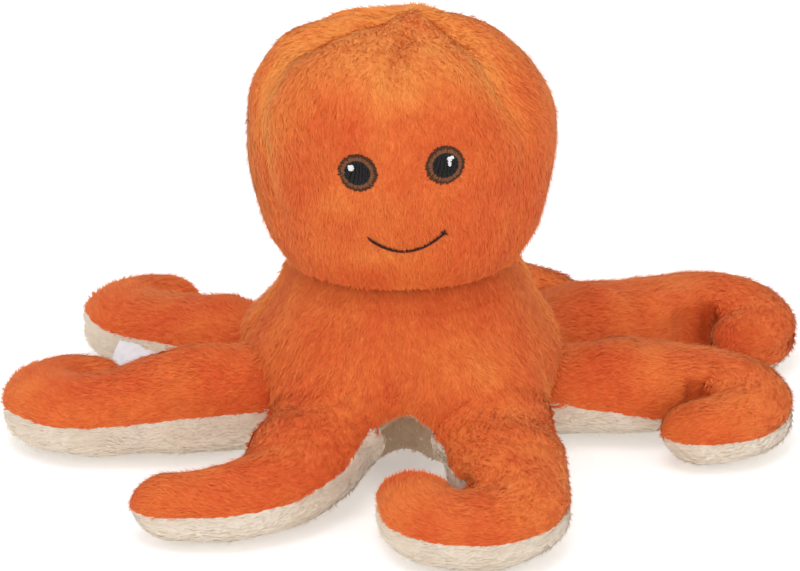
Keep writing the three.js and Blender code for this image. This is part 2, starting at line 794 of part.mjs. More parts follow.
function addArm(arm) {
  const frame = new THREE.Group();
  frame.position.copy(armRoot(arm));
  frame.rotation.z = THREE.MathUtils.degToRad(arm.heading);
  octopus.add(frame);
  addPiece(frame, `arm_${arm.name}_top`, armHalf(arm, 0, Math.PI, seamGap / 2), orange);
  addPiece(frame, `arm_${arm.name}_sole`, armHalf(arm, -Math.PI, 0, -seamGap / 2), cream);
  addPiece(frame, `arm_${arm.name}_stuffing`, armStuffing(arm), fibre);
  if (arm.name === 'rear_left') addPiece(frame, 'care_label', careLabel(arm), satin);
}

addBody();
addNeck();
addHead();
addFace();
arms.forEach(addArm);

export default octopus;
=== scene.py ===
import bmesh
import bpy
import numpy as np
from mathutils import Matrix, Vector


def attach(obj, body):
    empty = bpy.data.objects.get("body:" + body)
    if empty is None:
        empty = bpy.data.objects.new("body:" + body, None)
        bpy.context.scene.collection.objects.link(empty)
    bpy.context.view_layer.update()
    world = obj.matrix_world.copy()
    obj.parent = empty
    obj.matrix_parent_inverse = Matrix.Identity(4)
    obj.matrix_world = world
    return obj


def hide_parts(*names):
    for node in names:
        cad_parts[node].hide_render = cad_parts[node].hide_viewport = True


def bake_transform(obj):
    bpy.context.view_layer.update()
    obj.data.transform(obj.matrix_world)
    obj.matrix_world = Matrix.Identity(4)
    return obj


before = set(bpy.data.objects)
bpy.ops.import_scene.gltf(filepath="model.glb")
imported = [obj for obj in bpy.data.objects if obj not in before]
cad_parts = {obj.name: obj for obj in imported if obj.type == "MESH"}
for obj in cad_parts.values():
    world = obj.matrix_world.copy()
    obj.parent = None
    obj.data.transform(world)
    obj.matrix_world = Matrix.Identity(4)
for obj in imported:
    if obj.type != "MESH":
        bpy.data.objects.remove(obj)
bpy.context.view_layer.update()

# Camera and table. A long lens looks down at the toy from 22 degrees above the table, from straight in
# front. The table is a pale sheet that reaches far behind the toy.
CAMERA_DISTANCE = 2.4
CAMERA_RISE = np.radians(22)
CAMERA_LENS, CAMERA_SENSOR, CAMERA_REACH = 360, 36, 30
LOOK_AT = Vector((-0.0015, 0, 0.0477))
TABLE_REACH = 6
TABLE_GREY, TABLE_GLOW = 0.86, 0.32

camera_data = bpy.data.cameras.new("camera")
camera_data.sensor_width = CAMERA_SENSOR
camera_data.lens = CAMERA_LENS
camera_data.clip_end = CAMERA_REACH
camera = bpy.data.objects.new("camera", camera_data)
towards_camera = Vector((0, -np.cos(CAMERA_RISE), np.sin(CAMERA_RISE)))
camera.location = LOOK_AT + towards_camera * CAMERA_DISTANCE
camera.rotation_euler = towards_camera.to_track_quat("Z", "Y").to_euler()
bpy.context.scene.collection.objects.link(camera)
bpy.context.scene.camera = camera
bpy.context.scene.view_settings.view_transform = "Standard"


class Value:
    """A socket of a shader that takes part in sums. Each operator adds one Math node."""

    def __init__(self, finish, socket):
        self.finish = finish
        self.socket = socket

    def math(self, operation, other):
        return self.finish.node("ShaderNodeMath", {"operation": operation}, self, other)

    def __add__(self, other):
        return self.math("ADD", other)

    def __mul__(self, other):
        return self.math("MULTIPLY", other)

    def __sub__(self, other):
        return self.math("SUBTRACT", other)

    __radd__ = __add__
    __rmul__ = __mul__


class Finish:
    """A material and its nodes. One method adds any node, sets it, and joins up its sockets."""

    def __init__(self, name):
        self.material = bpy.data.materials.new(name)
        self.material.use_nodes = True
        self.nodes = self.material.node_tree.nodes
        self.links = self.material.node_tree.links
        self.surface = self.nodes["Principled BSDF"]

    def node(self, kind, settings=None, *values, out=0, **named):
        made = self.nodes.new(kind)
        for key, value in (settings or {}).items():
            setattr(made, key, value)
        for key, value in [*enumerate(values), *named.items()]:
            self.feed(made.inputs[key], value)
        return Value(self, made.outputs[out])

    def feed(self, socket, value):
        if isinstance(value, Value):
            self.links.new(value.socket, socket)
        elif value is not None:
            socket.default_value = value

    def set(self, **named):
        for key, value in named.items():
            self.feed(self.surface.inputs[key.replace("_", " ")], value)
        return self

    def noise(self, scale, detail):
        place = self.node("ShaderNodeTexCoord", out=3)
        return self.node("ShaderNodeTexNoise", None, place, None, scale, detail, 0.5)

    def painted(self, name):
        """The number that a mesh gives at each vertex under a name."""
        return self.node("ShaderNodeAttribute", {"attribute_name": name}, out=2)

    def ramp(self, stops, value):
        made = self.node("ShaderNodeValToRGB", None, value)
        elements = made.socket.node.color_ramp.elements
        while len(elements) < len(stops):
            elements.new(1)
        for element, (place, colour) in zip(elements, stops):
            element.position, element.color = place, (*colour, 1)
        return made

    def bump(self, height, distance, strength=1):
        return self.node("ShaderNodeBump", None, strength, distance, Height=height)


def placed(name, mesh, finish):
    """An object in the scene for a mesh, with its material."""
    mesh.materials.append(finish.material)
    piece = bpy.data.objects.new(name, mesh)
    bpy.context.scene.collection.objects.link(piece)
    return piece


table_finish = Finish("pale_table").set(Base_Color=(TABLE_GREY, TABLE_GREY, TABLE_GREY, 1), Roughness=0.9)
table_finish.set(Emission_Color=(1, 1, 1, 1), Emission_Strength=TABLE_GLOW)
table_mesh = bpy.data.meshes.new("table")
corners = [(x, y, 0) for x, y in ((-1, -1), (1, -1), (1, 1), (-1, 1))]
table_mesh.from_pydata([(x * TABLE_REACH, y * TABLE_REACH, z) for x, y, z in corners], [], [(0, 1, 2, 3)])
placed("table", table_mesh, table_finish)

# Light: a broad lamp overhead, a weaker one in front on each side, and an even white room. The room shows
# white to the camera and lights the toy less than that. A lamp is its place, its width and its power.
ROOM_LIGHT = 0.72
LAMP_AIM = Vector((0, 0, 0.05))
LAMPS = [
    ("lamp_left", (-1.0, -1.9, 1.15), 1.2, 5),
    ("lamp_right", (1.6, -1.4, 0.9), 1.2, 4.5),
    ("lamp_top", (-0.2, -0.4, 1.9), 1.4, 12),
]
for lamp_name, place, size, power in LAMPS:
    lamp_data = bpy.data.lights.new(lamp_name, "AREA")
    lamp_data.shape = "DISK"
    lamp_data.size = size
    lamp_data.energy = power
    lamp = bpy.data.objects.new(lamp_name, lamp_data)
    lamp.location = place
    lamp.rotation_euler = (Vector(place) - LAMP_AIM).to_track_quat("Z", "Y").to_euler()
    bpy.context.scene.collection.objects.link(lamp)

room = bpy.data.worlds.new("room")
room.use_nodes = True
bpy.context.scene.world = room
room_nodes = room.node_tree.nodes
room_paths = room_nodes.new("ShaderNodeLightPath")
room_level = room_nodes.new("ShaderNodeMapRange")
room_level.inputs["To Min"].default_value = ROOM_LIGHT
room_level.inputs["To Max"].default_value = 1
room.node_tree.links.new(room_paths.outputs["Is Camera Ray"], room_level.inputs["Value"])
room.node_tree.links.new(room_level.outputs["Result"], room_nodes["Background"].inputs["Strength"])
room_nodes["Background"].inputs["Color"].default_value = (1, 1, 1, 1)

# Plush cloth, of which all the skins are made: a knitted backing, and brushed pile that lies downwards
# from the crown and outwards along the arms. Sizes are in millimetres until a mesh is made. A skin is
# a grid of points, worked out at the depth of the backing under the tips of the pile.
MM = 0.001
PILE_DEPTH = 0.5
PILE_WIDTH = 0.45
TUFT_SIZE = 1.9
STRAY_SHARE = 0.15
KNEE = 0.4
PILE_RISE, STRAY_RISE = 0.14, 0.45
PILE_DROOP, STRAY_DROOP = -0.05, 0.6
TUFT_LEAN = 0.35
MIDDLE_TINT, TINT_SPREAD, LEAST_TINT = 0.39, 0.12, 0.14
BAKE_BANDS = 32
BACKING_THICKNESS = 0.8
FILLING_DEPTH = 2.1


def smoothstep(low, high, x):
    """0 below low, 1 above high, and 3t^2 - 2t^3 between."""
    t = np.clip((x - low) / (high - low), 0, 1)
    return t * t * (3 - 2 * t)


def bell(x, width):
    """1 at 0, falling to both sides as exp(-(x / width)^2)."""
    return np.exp(-((x / width) ** 2))


def bells(x, rows):
    """A sum of bells, each given by its height, place and width."""
    return sum(height * bell(x - place, width) for height, place, width in rows)


def smooth_line(points, count):
    """Catmull-Rom curve through the points: each stretch is the cubic whose ends have half the
    difference of their neighbours as tangents."""
    p = np.asarray(points, float)
    p = np.concatenate([2 * p[:1] - p[1:2], p, 2 * p[-1:] - p[-2:-1]])
    t = np.linspace(0, len(points) - 1, count)
    i = np.minimum(t.astype(int), len(points) - 2)
    t = (t - i)[:, None]
    a, b, c, d = p[i], p[i + 1], p[i + 2], p[i + 3]
    return 0.5 * (2 * b + (c - a) * t + (2 * a - 5 * b + 4 * c - d) * t**2 + (3 * b - a - 3 * c + d) * t**3)


def unit(v):
    return v / np.maximum(np.linalg.norm(v, axis=-1, keepdims=True), 1e-9)


def level_with(normals, v):
    """The part of vectors that is at right angles to the normals."""
    return v - normals * (v * normals).sum(-1, keepdims=True)


def stacked(*parts):
    """Points from their coordinates, which are spread to a common shape."""
    return np.stack(np.broadcast_arrays(*parts), axis=-1)


def scatter(cell, seed):
    """Three numbers from 0 to 1 for each cell of a lattice, by mixing its whole coordinates."""
    n = cell[..., 0] * 374761393 + cell[..., 1] * 668265263 + cell[..., 2] * 1274126177 + seed * 69069
    n = (n ^ (n >> 13)) * 1103515245
    n = n ^ (n >> 16)
    return np.stack([(n >> shift) & 1023 for shift in (0, 10, 20)], axis=-1) / 1023


def lumps(points, size, seed):
    """Value noise from -1 to 1: a number at each corner of a lattice of that size, blended smoothly."""
    cell = np.floor(points / size).astype(np.int64)
    t = points / size - cell
    t = t * t * (3 - 2 * t)
    total = 0
    for corner in np.ndindex(2, 2, 2):
        share = np.prod(np.where(corner, t, 1 - t), axis=-1)
        total = total + share * scatter(cell + corner, seed)[..., 0]
    return total * 2 - 1


def tuft_centres(points, size, seed):
    """The nearest of a set of points, one at a random place in each cell of a lattice of that size."""
    cell = np.floor(points / size).astype(np.int64)
    best = np.full(points.shape[:-1], np.inf)
    found = points.copy()
    for step in np.ndindex(3, 3, 3):
        near = cell + np.array(step) - 1
        centre = (near + scatter(near, seed)) * size
        apart = ((centre - points) ** 2).sum(-1)
        closer = apart < best
        best = np.where(closer, apart, best)
        found = np.where(closer[..., None], centre, found)
    return found


def grid_normals(points):
    """Unit normals of a grid: the cross product of its two directions, turned to point outwards."""
    normals = unit(np.cross(np.gradient(points, axis=0), np.gradient(points, axis=1)))
    centre = points.reshape(-1, 3).mean(0)
    inwards = (normals * (points - centre)).sum() < 0
    return (-normals if inwards else normals), inwards


def quads(rows, columns, first=0):
    corner = first + np.arange(rows - 1)[:, None] * columns + np.arange(columns - 1)
    return stacked(corner, corner + columns, corner + columns + 1, corner + 1).reshape(-1, 4)


def strip(a, b):
    """Quads along two lines of vertices of the same length."""
    return stacked(a[:-1], a[1:], b[1:], b[:-1])


def mesh_of(name, vertices, faces):
    """A smooth mesh in metres from points in millimetres, with points that meet joined."""
    mesh = bpy.data.meshes.new(name)
    mesh.from_pydata((vertices * MM).tolist(), [], faces.tolist())
    work = bmesh.new()
    work.from_mesh(mesh)
    bmesh.ops.remove_doubles(work, verts=work.verts, dist=1e-6)
    bmesh.ops.dissolve_degenerate(work, edges=work.edges, dist=1e-7)
    work.to_mesh(mesh)
    work.free()
    mesh.polygons.foreach_set("use_smooth", [True] * len(mesh.polygons))
    return mesh


def cloth_mesh(name, points, normals, inwards, closed=False, thickness=BACKING_THICKNESS):
    """A closed shell: the grid, the same grid a thickness deeper, and walls along its edges. A closed
    grid's first and last columns meet, so it has walls at its first and last rows only."""
    rows, columns = points.shape[:2]
    vertices = np.concatenate([points, points - normals * thickness]).reshape(-1, 3)
    outer = np.arange(rows * columns).reshape(rows, columns)
    inner = outer + rows * columns
    faces = [
        quads(rows, columns),
        quads(rows, columns, rows * columns)[:, ::-1],
        strip(outer[0], inner[0]),
        strip(outer[-1, ::-1], inner[-1, ::-1]),
    ]
    if not closed:
        faces += [strip(outer[::-1, 0], inner[::-1, 0]), strip(outer[:, -1], inner[:, -1])]
    faces = np.concatenate(faces)
    return mesh_of(name, vertices, faces[:, ::-1] if inwards else faces)


def tilted(vectors, towards, angles):
    """Vectors turned by an angle towards others that are at right angles to them."""
    return vectors * np.cos(angles)[:, None] + towards * np.sin(angles)[:, None]


def paint(mesh, name, values):
    """Gives a mesh a number at each vertex, which its finish reads by the name."""
    mesh.attributes.new(name, "FLOAT", "POINT").data.foreach_set("value", values.astype(np.float32))


def grow_pile(name, finish, points, normals, comb, per_mm2, length, keep, trim, tone, seed):
    """Pile on a grid: slender kites, bent across their widest part. Roots are spread evenly over the
    area. Each kite rises from its root and then lies flat along the comb, and its tip leans towards
    the middle of its tuft. keep thins the pile from corner to corner of the grid, tone lightens it,
    and trim shortens and parts it."""
    draw = np.random.default_rng(seed)
    rows, columns = points.shape[:2]
    sides = [points[1:, 1:] - points[:-1, :-1], points[1:, :-1] - points[:-1, 1:]]
    area = np.linalg.norm(np.cross(*sides), axis=-1) / 2
    if keep is not None:
        area = area * (keep[1:, 1:] + keep[:-1, :-1] + keep[1:, :-1] + keep[:-1, 1:]) / 4
    heap = np.cumsum(area)
    count = int(heap[-1] * per_mm2)
    cell = np.searchsorted(heap, draw.random(count) * heap[-1])
    i, j = np.divmod(cell, columns - 1)
    a, b = draw.random((2, count, 1))

    def at(values):
        low = values[i, j] * (1 - b) + values[i, j + 1] * b
        high = values[i + 1, j] * (1 - b) + values[i + 1, j + 1] * b
        return low * (1 - a) + high * a

    root, normal, lay = at(points), unit(at(normals)), at(comb)
    lighter = at(tone[..., None])[:, 0] if tone is not None else np.zeros(count)
    reach = length * (0.75 + 0.4 * draw.random(count)) * (1 + 0.15 * lumps(root, 7, seed + 3))
    if trim is not None:
        stays, shorter, away, parted = trim(root)
        lay = lay * (1 - parted[:, None]) + away * parted[:, None]
        reach = reach * shorter
        stays = draw.random(count) < stays
        root, normal, lay, reach = root[stays], normal[stays], lay[stays], reach[stays]
        i, j, a, b, lighter = i[stays], j[stays], a[stays], b[stays], lighter[stays]
        count = len(root)
    lay = unit(level_with(normal, lay))
    swirl = 0.55 * lumps(root, 17, seed + 5) + 0.3 * lumps(root, 4.5, seed + 6) + draw.normal(0, 0.2, count)
    edge = (j + b[:, 0]) / (columns - 1)
    swirl = swirl * (0.2 + 0.8 * smoothstep(0.01, 0.12, np.minimum(edge, 1 - edge)))
    lay = tilted(lay, np.cross(normal, lay), swirl)
    stray = (draw.random(count) < STRAY_SHARE) * draw.random(count)
    rise = PILE_RISE + 0.04 * lumps(root, 5, seed + 7) + draw.normal(0, 0.03, count) + STRAY_RISE * stray
    droop = PILE_DROOP + draw.normal(0, 0.03, count) + STRAY_DROOP * stray
    middle = root + tilted(lay, normal, rise) * reach[:, None] * KNEE
    lean = tuft_centres(root, TUFT_SIZE, seed + 9) - root
    lay = unit(lay + level_with(normal, lean) * TUFT_LEAN)
    tip = middle + tilted(lay, normal, droop) * reach[:, None] * (1 - KNEE)
    across = unit(np.cross(tip - root, normal))
    half = (PILE_WIDTH * (0.7 + 0.6 * draw.random(count)) * (1 - 0.45 * np.sqrt(stray)) / 2)[:, None]
    corners = np.stack([root - normal * 0.05, middle - across * half, middle + across * half, tip], axis=1)
    mesh = bpy.data.meshes.new(name)
    loops = (np.arange(count)[:, None] * 4 + [0, 2, 1, 1, 2, 3]).ravel()
    mesh.vertices.add(count * 4)
    mesh.vertices.foreach_set("co", (corners * MM).astype(np.float32).ravel())
    mesh.loops.add(len(loops))
    mesh.loops.foreach_set("vertex_index", loops.astype(np.int32))
    mesh.polygons.add(count * 2)
    mesh.polygons.foreach_set("loop_start", np.arange(0, len(loops), 3, dtype=np.int32))
    mesh.polygons.foreach_set("use_smooth", np.ones(count * 2, bool))
    mesh.update(calc_edges=True)
    along = np.tile([0, KNEE, KNEE, 1], count)
    patch = 0.2 * lumps(root * [1, 1, 0.6], 8, seed + 11) + 0.22 * lumps(root, 19, seed + 12)
    tint = MIDDLE_TINT + TINT_SPREAD * draw.normal(size=count) + patch
    tint = np.maximum(tint, LEAST_TINT) + lighter
    paint(mesh, "along", along)
    paint(mesh, "tint", np.repeat(np.clip(tint, 0, 1), 4))
    soft = unit(normal + 0.4 * unit(np.cross(across, tip - middle)))
    shading = mesh.attributes.new("custom_normal", "FLOAT_VECTOR", "POINT")
    shading.data.foreach_set("vector", np.repeat(soft, 4, axis=0).astype(np.float32).ravel())
    band = np.repeat(np.floor((i + a[:, 0]) / (rows - 1) * BAKE_BANDS), 4)
    column = np.repeat((j + b[:, 0]) / (columns - 1), 4) + np.tile([0, -1, 1, 0], count) / 400
    place = np.clip(stacked(column, (band + along) / BAKE_BANDS)[loops], 0, 1)
    mesh.uv_layers.new(name="OFBake").uv.foreach_set("vector", place.astype(np.float32).ravel())
    mesh.uv_layers["OFBake"].active = True
    return placed(name, mesh, finish)


def pile_finish(name, tones, sheen):
    """Pile: darker at the root than at the tip, which is painted shade deep in the pile, with a soft sheen.
    Its four tones are painted shade for creases and hollows, a deep and a light one that change from patch
    to patch, and a pale one for painted sheen, where the pile catches the light or was brushed up."""
    finish = Finish(name)
    along, tint = finish.painted("along"), finish.painted("tint")
    colour = finish.ramp(list(zip((0, 0.1, 0.7, 1), tones)), tint)
    shade = finish.node("ShaderNodeVectorMath", {"operation": "SCALE"}, colour, Scale=0.9 + 0.1 * along)
    return finish.set(
        Base_Color=shade, Roughness=0.75, Specular_IOR_Level=0.2,
        Sheen_Weight=0.4, Sheen_Roughness=0.45, Sheen_Tint=(*sheen, 1),
    )


def mottled_finish(name, light, dark, mottle, roughness, grain, height, strength=1):
    """A surface mottled between two colours, with a fine grain as bump. The mottle and the grain are
    the scale and the detail of a noise."""
    finish = Finish(name)
    shade = finish.ramp([(0.3, dark), (0.7, light)], finish.noise(*mottle))
    bump = finish.bump(finish.noise(*grain), height, strength)
    return finish.set(Base_Color=shade, Roughness=roughness, Normal=bump)


def backing_finish(name, colour):
    """The knit under the pile, with its fine loops."""
    darker = [c * 0.85 for c in colour]
    return mottled_finish(name, colour, darker, (260, 3), 0.95, (2200, 1), 0.0003, 0.6)


# The first tone of each is painted shade for creases and hollows, and the last is painted sheen.
ORANGE_TONES = [(0.6, 0.06, 0.02), (0.78, 0.115, 0.026), (0.9, 0.235, 0.05), (0.95, 0.34, 0.075)]
CREAM_TONES = [(0.6, 0.41, 0.26), (0.84, 0.71, 0.56), (0.9, 0.8, 0.68), (0.94, 0.86, 0.76)]
orange_pile = pile_finish("orange_pile", ORANGE_TONES, (1, 0.68, 0.25))
cream_pile = pile_finish("cream_pile", CREAM_TONES, (1, 0.97, 0.9))
orange_backing = backing_finish("orange_backing", (0.8, 0.16, 0.035))
cream_backing = backing_finish("cream_backing", (0.86, 0.74, 0.59))


def fixed(piece, body, bend, node=None):
    """A piece that moves with its body, or, where it has a bend, stays where it is with its place baked into
    its mesh; it may stand for a CAD node, which it hides."""
    if bend:
        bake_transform(piece)
    else:
        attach(piece, body)
    if node:
        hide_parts(node)


def plush(node, body, points, comb, seed, orange=True, closed=False, keep=None, trim=None, tone=None,
          bend=None):
    """A panel of plush that stands for a CAD node: its backing, and its pile, which is shorter and
    thinner where it is cream."""
    finish, under, slot, length, per_mm2 = (
        (orange_pile, orange_backing, "plush_orange", 3, 9) if orange else
        (cream_pile, cream_backing, "plush_cream", 2.6, 6))
    normals, inwards = grid_normals(points)
    backing = placed(node + "_backing", cloth_mesh(node, points, normals, inwards, closed), under)
    fur = grow_pile(node + "_pile", finish, points, normals, comb, per_mm2, length, keep, trim, tone, seed)
    fixed(backing, body, bend, node)
    fixed(fur, body, bend)


# Body: a front and a back panel of orange plush, joined at the sides, over a cream sole that is a
# shallow bowl. The arms grow out of its lower half, the two front ones without a seam, and its top is
# a dome that goes on under the head.
NECK_BALL_HEIGHT = 33.5
NECK_BALL_RADIUS = 41
NECK_EDGE = np.radians(59)
NECK_TOP = np.radians(38)
SOLE_FLAT_RADIUS = 28
SKIRT_HEIGHT = 16
SKIRT_RADIUS = 44.5
BODY_LINE = [(SKIRT_RADIUS, SKIRT_HEIGHT), (46.6, 23), (46.5, 31), (43.4, 38), (39.8, 44.6), (37.5, 50),
             (35.2, 54.9)]
FULLNESS, FULL_ANGLE = 7, np.radians(122)
FULL_FROM, FULL_TO = 38.7, 46.5

sole_turn = np.linspace(-np.pi / 2, 0, 24)
dome_turn = np.linspace(NECK_EDGE, NECK_TOP, 12)[1:]
body_outline = np.concatenate([
    [[0, 0]],
    stacked(SOLE_FLAT_RADIUS + (SKIRT_RADIUS - SOLE_FLAT_RADIUS) * np.cos(sole_turn),
              SKIRT_HEIGHT + SKIRT_HEIGHT * np.sin(sole_turn)),
    smooth_line(BODY_LINE, 40)[1:],
    stacked(NECK_BALL_RADIUS * np.sin(dome_turn),
              NECK_BALL_HEIGHT + NECK_BALL_RADIUS * np.cos(dome_turn)),
])


def body_radius(height, outline=body_outline):
    """Radius of the body at a height, from its outline without the first points, which lie flat."""
    return np.interp(height, outline[4:, 1], outline[4:, 0])


def fuller(radius, angle):
    """Shift in x and y of the body's surface, which is fuller to its rear left where it is widest."""
    share = np.clip((radius - FULL_FROM) / (FULL_TO - FULL_FROM), 0, 1)
    share = share * np.clip(np.cos(angle - FULL_ANGLE), 0, 1)
    return FULLNESS * share * np.cos(FULL_ANGLE), FULLNESS * share * np.sin(FULL_ANGLE)


def on_body(radius, outer, angle, height):
    """Points at a radius and a height, moved by the fullness that belongs to the outer radius there."""
    right, back = fuller(outer, angle)
    x, y = radius * np.cos(angle) + right, radius * np.sin(angle) + back
    return stacked(x, y, height)


def body_distance(points):
    """Distance from the body's surface, positive outside: to the nearest stretch of its outline, in the
    plane of radius and height, after the fullness is taken off."""
    x, y, z = np.moveaxis(points, -1, 0)
    right, back = fuller(body_radius(z), np.arctan2(y, x))
    place = stacked(np.hypot(x - right, y - back), z)[..., None, :]
    closed = np.concatenate([body_outline, [[0, body_outline[-1, 1]]]])
    start, reach = closed[:-1], np.diff(closed, axis=0)
    t = np.clip(((place - start) * reach).sum(-1) / (reach**2).sum(-1), 0, 1)
    apart = np.linalg.norm(place - start - reach * t[..., None], axis=-1).min(-1)
    crosses = (start[:, 1] > place[..., 1]) != (start[:, 1] + reach[:, 1] > place[..., 1])
    level = np.where(reach[:, 1] == 0, 1, reach[:, 1])
    crosses &= place[..., 0] < start[:, 0] + reach[:, 0] * (place[..., 1] - start[:, 1]) / level
    return np.where(crosses.sum(-1) % 2, -apart, apart)


# Arms: eight, each an orange top and a cream sole sewn along its middle and stuffed. Each has a straight
# stem from its root at the body, a hook that curls clockwise seen from above, and a round end. Angle and
# heading are in degrees: where the root sits round the body, and which way the arm sets off.
ROOT_HEIGHT = 14
ROOT_BALL = 13.5
HALF_WIDTH, END_HALF_WIDTH = 18, 12.3
HALF_HEIGHT, END_HALF_HEIGHT = 14.3, 10
SWELL_SHARE, MIDDLE_SHARE, TAPER_SHARE, DRAW_SHARE = 0.24, 0.58, 0.55, 0.35
FOLD_GAP = 0.3
FLOOR_GAP = 0.4
LOW_FILLET = 3
ARM_TONE = -0.05


def turned(x, y, angle):
    c, s = np.cos(angle), np.sin(angle)
    return x * c - y * s, x * s + y * c


class Arm:
    """An arm's sizes, and its shape as functions of the distance along it. Its hook is a radius, and
    its seams are rows of distance and rise on the outside and on the inside of the curl."""

    def __init__(self, name, angle, radius, root, heading, stem, hook, turn, end, fillet, seams, crest=0):
        self.name, self.root_width, self.stem, self.hook, self.end = name, root, stem, hook, end
        self.seams, self.crest = np.array(seams).T, crest
        self.turn, self.heading, self.fillet = np.radians(turn), np.radians(heading), fillet
        self.root = np.array([*turned(radius, 0, np.radians(angle)), ROOT_HEIGHT])
        self.length = stem + hook * self.turn + end

    def local(self, points):
        """Points in the arm's frame: its root is the origin, and +X is the way it sets off."""
        x, y, z = np.moveaxis(points - self.root, -1, 0)
        return stacked(*turned(x, y, -self.heading), z)

    def world(self, points):
        x, y, z = np.moveaxis(points, -1, 0)
        return stacked(*turned(x, y, self.heading), z) + self.root

    def bend(self):
        """The stretch of the stem over which the skins go from the body's motion to the arm's."""
        ahead = np.array([np.cos(self.heading), np.sin(self.heading), 0])
        return "torso", "arm_" + self.name, (self.root - ahead * 5) * MM, (self.root + ahead * 23) * MM

    def tapered(self, distance, root, full, end):
        """From the root's size to full at the swell, then tapering to the end's."""
        share = np.clip(distance / self.length, 0, 1)
        middle = full + (end - full) * TAPER_SHARE
        swell = root + (full - root) * smoothstep(0, SWELL_SHARE, share)
        taper = np.interp(share, [SWELL_SHARE, MIDDLE_SHARE, 1], [full, middle, end])
        return np.where(share < SWELL_SHARE, swell, taper)

    def half_width(self, distance):
        return self.tapered(distance, self.root_width, HALF_WIDTH, END_HALF_WIDTH)

    def half_height(self, distance):
        crest = self.crest * smoothstep(48, 12, distance)
        return self.tapered(distance, ROOT_BALL, HALF_HEIGHT, END_HALF_HEIGHT) + crest

    def seam(self, distance, inner):
        """Angle in the cross-section by which a side's seam is higher than the middle of the arm."""
        return np.interp(distance, self.seams[0], self.seams[1 + inner])

    def spine(self, distance):
        """Place in plan and heading: straight along the stem, round the hook, and straight to the end."""
        swung = np.clip((distance - self.stem) / self.hook, 0, self.turn)
        beyond = np.maximum(0, distance - self.stem - self.hook * self.turn)
        x = np.minimum(distance, self.stem) + self.hook * np.sin(swung) + beyond * np.cos(swung)
        y = -self.hook * (1 - np.cos(swung)) - beyond * np.sin(swung)
        return x, y, -swung

    def distance_from(self, points):
        """Distance from the surface of the arm's stem, to first order: an ellipse across the arm, whose
        inner end is a ball."""
        x, y, z = np.moveaxis(self.local(points), -1, 0)
        along = np.maximum(x, 0)
        wide, high = self.half_width(along), self.half_height(along)
        up = z + ROOT_HEIGHT - high - FLOOR_GAP
        back = np.minimum(x, 0)
        size = np.sqrt((back / ROOT_BALL) ** 2 + (y / wide) ** 2 + (up / high) ** 2)
        slope = np.sqrt((back / ROOT_BALL**2) ** 2 + (y / wide**2) ** 2 + (up / high**2) ** 2)
        return size * (size - 1) / np.maximum(slope, 1e-6)


ARMS = [
    Arm("front_right", -53.5, 45.08, 16.96, -82.5, 49.22, 14.69, 178, 9.9, 18,
        [(0, 0.1, 0.5), (10, 0.08, 0.35), (25, 0.1, 0.12), (45, 0.1, 0), (56, 0.1, -0.5)]),
    Arm("right", 0, 46, 16, 5, 43.24, 13.6, 172, 4.2, 3, [(0, 0.1, 0.1), (20, 0, -0.16), (60, 0, 0)]),
    Arm("rear_right", 41, 50.14, 15.04, 35, 58.88, 14.01, 150, 3, 3,
        [(0, 0.1, 0.1), (20, 0, -0.3), (60, -0.1, -0.7), (85, -0.45, -0.8)]),
    Arm("back_right", 75, 51.98, 14.08, 70, 22.08, 14.55, 100, 2.1, 3, [(0, 0.1, 0.1), (20, 0, 0)]),
    Arm("back_left", 109, 51.98, 14.08, 98, 28.06, 31.96, 42, 3.9, 3, [(0, 0.1, 0.1), (20, 0, 0)]),
    Arm("rear_left", 147, 49.22, 15.04, 148, 45.54, 12.51, 128, 3, 3,
        [(0, 0.1, 0.1), (20, 0.25, 0), (46, 0.27, 0), (56, 0.4, 0)]),
    Arm("left", -165.5, 46, 16, 186, 50.14, 12.51, 165, 4.8, 3,
        [(0, 0.1, 0.1), (20, 0.05, 0), (50, 0.16, 0)], crest=2.4),
    Arm("front_left", -122, 45.08, 16.96, -109, 23.92, 29.92, 74, 6, 14,
        [(0, 0.5, 0.1), (10, 0.45, 0), (20, 0.36, 0), (42, 0.12, 0), (60, 0.1, 0)]),
]


def joined_distance(points):
    """Distance from body and arms as one surface. Where two surfaces are nearer to each other than the
    fillet k, the lesser distance is lowered by (k - their difference)^2 / 4k, which rounds the corner."""
    body = body_distance(points)
    total = body
    for arm in ARMS:
        own = arm.distance_from(points)
        fillet = LOW_FILLET + (arm.fillet - LOW_FILLET) * smoothstep(8, 18, points[..., 2])
        close = np.clip(fillet - np.abs(body - own), 0, None)
        total = np.minimum(total, np.minimum(body, own) - close**2 / (4 * fillet))
    return total


def flowed(points, depth, other):
    """Moves a skin's points out to the common surface of body and arms, depth under it, by Newton
    steps, and a little deeper on the neighbour's side of the crease. Those well inside the neighbour,
    where other is below zero, stay where they are. Also gives the share of the pile that this skin
    has, which falls from 1 to 0 across the crease."""
    flat, inside = points.reshape(-1, 3), other.reshape(-1)
    moves = smoothstep(-7.5, -4, inside)
    depth = depth + 0.6 * (1 - smoothstep(-4, -1, inside))
    near = np.nonzero((joined_distance(flat) + depth < -0.05) & (moves > 0))[0]
    moved = flat[near]
    steps = np.eye(3) * 0.2
    for _ in range(5):
        here = joined_distance(moved)
        slope = np.stack([joined_distance(moved + s) - here for s in steps], axis=-1)
        moved = moved - unit(slope) * (here + depth[near])[:, None]
    out = flat.copy()
    out[near] += (moved - flat[near]) * moves[near, None]
    return out.reshape(points.shape), smoothstep(-3, 3, other)


def turned_nap(own, across, normals, other):
    """The lie of the pile: the skin's own direction, turning to the neighbour's across the crease."""
    across = unit(level_with(normals, across))
    share = smoothstep(-9, 9, other)[..., None]
    return unit(unit(own) * share + across * (1 - share))


def arms_distance(points):
    return np.min([arm.distance_from(points) for arm in ARMS], axis=0)


def moved_in(outline, depth):
    """An outline moved inwards by a depth, square to itself."""
    along = unit(np.gradient(outline, axis=0))
    return outline + stacked(-along[:, 1], along[:, 0]) * depth


CROTCH_ANGLE = np.radians(-90)
CROTCH_RISE = 11
CROTCH_WIDTH, HOLLOW_WIDTH = 0.27, 0.3
DRAWN_IN, DRAWN_UP, RIM_SUNK = 9, 0.36, 1.1


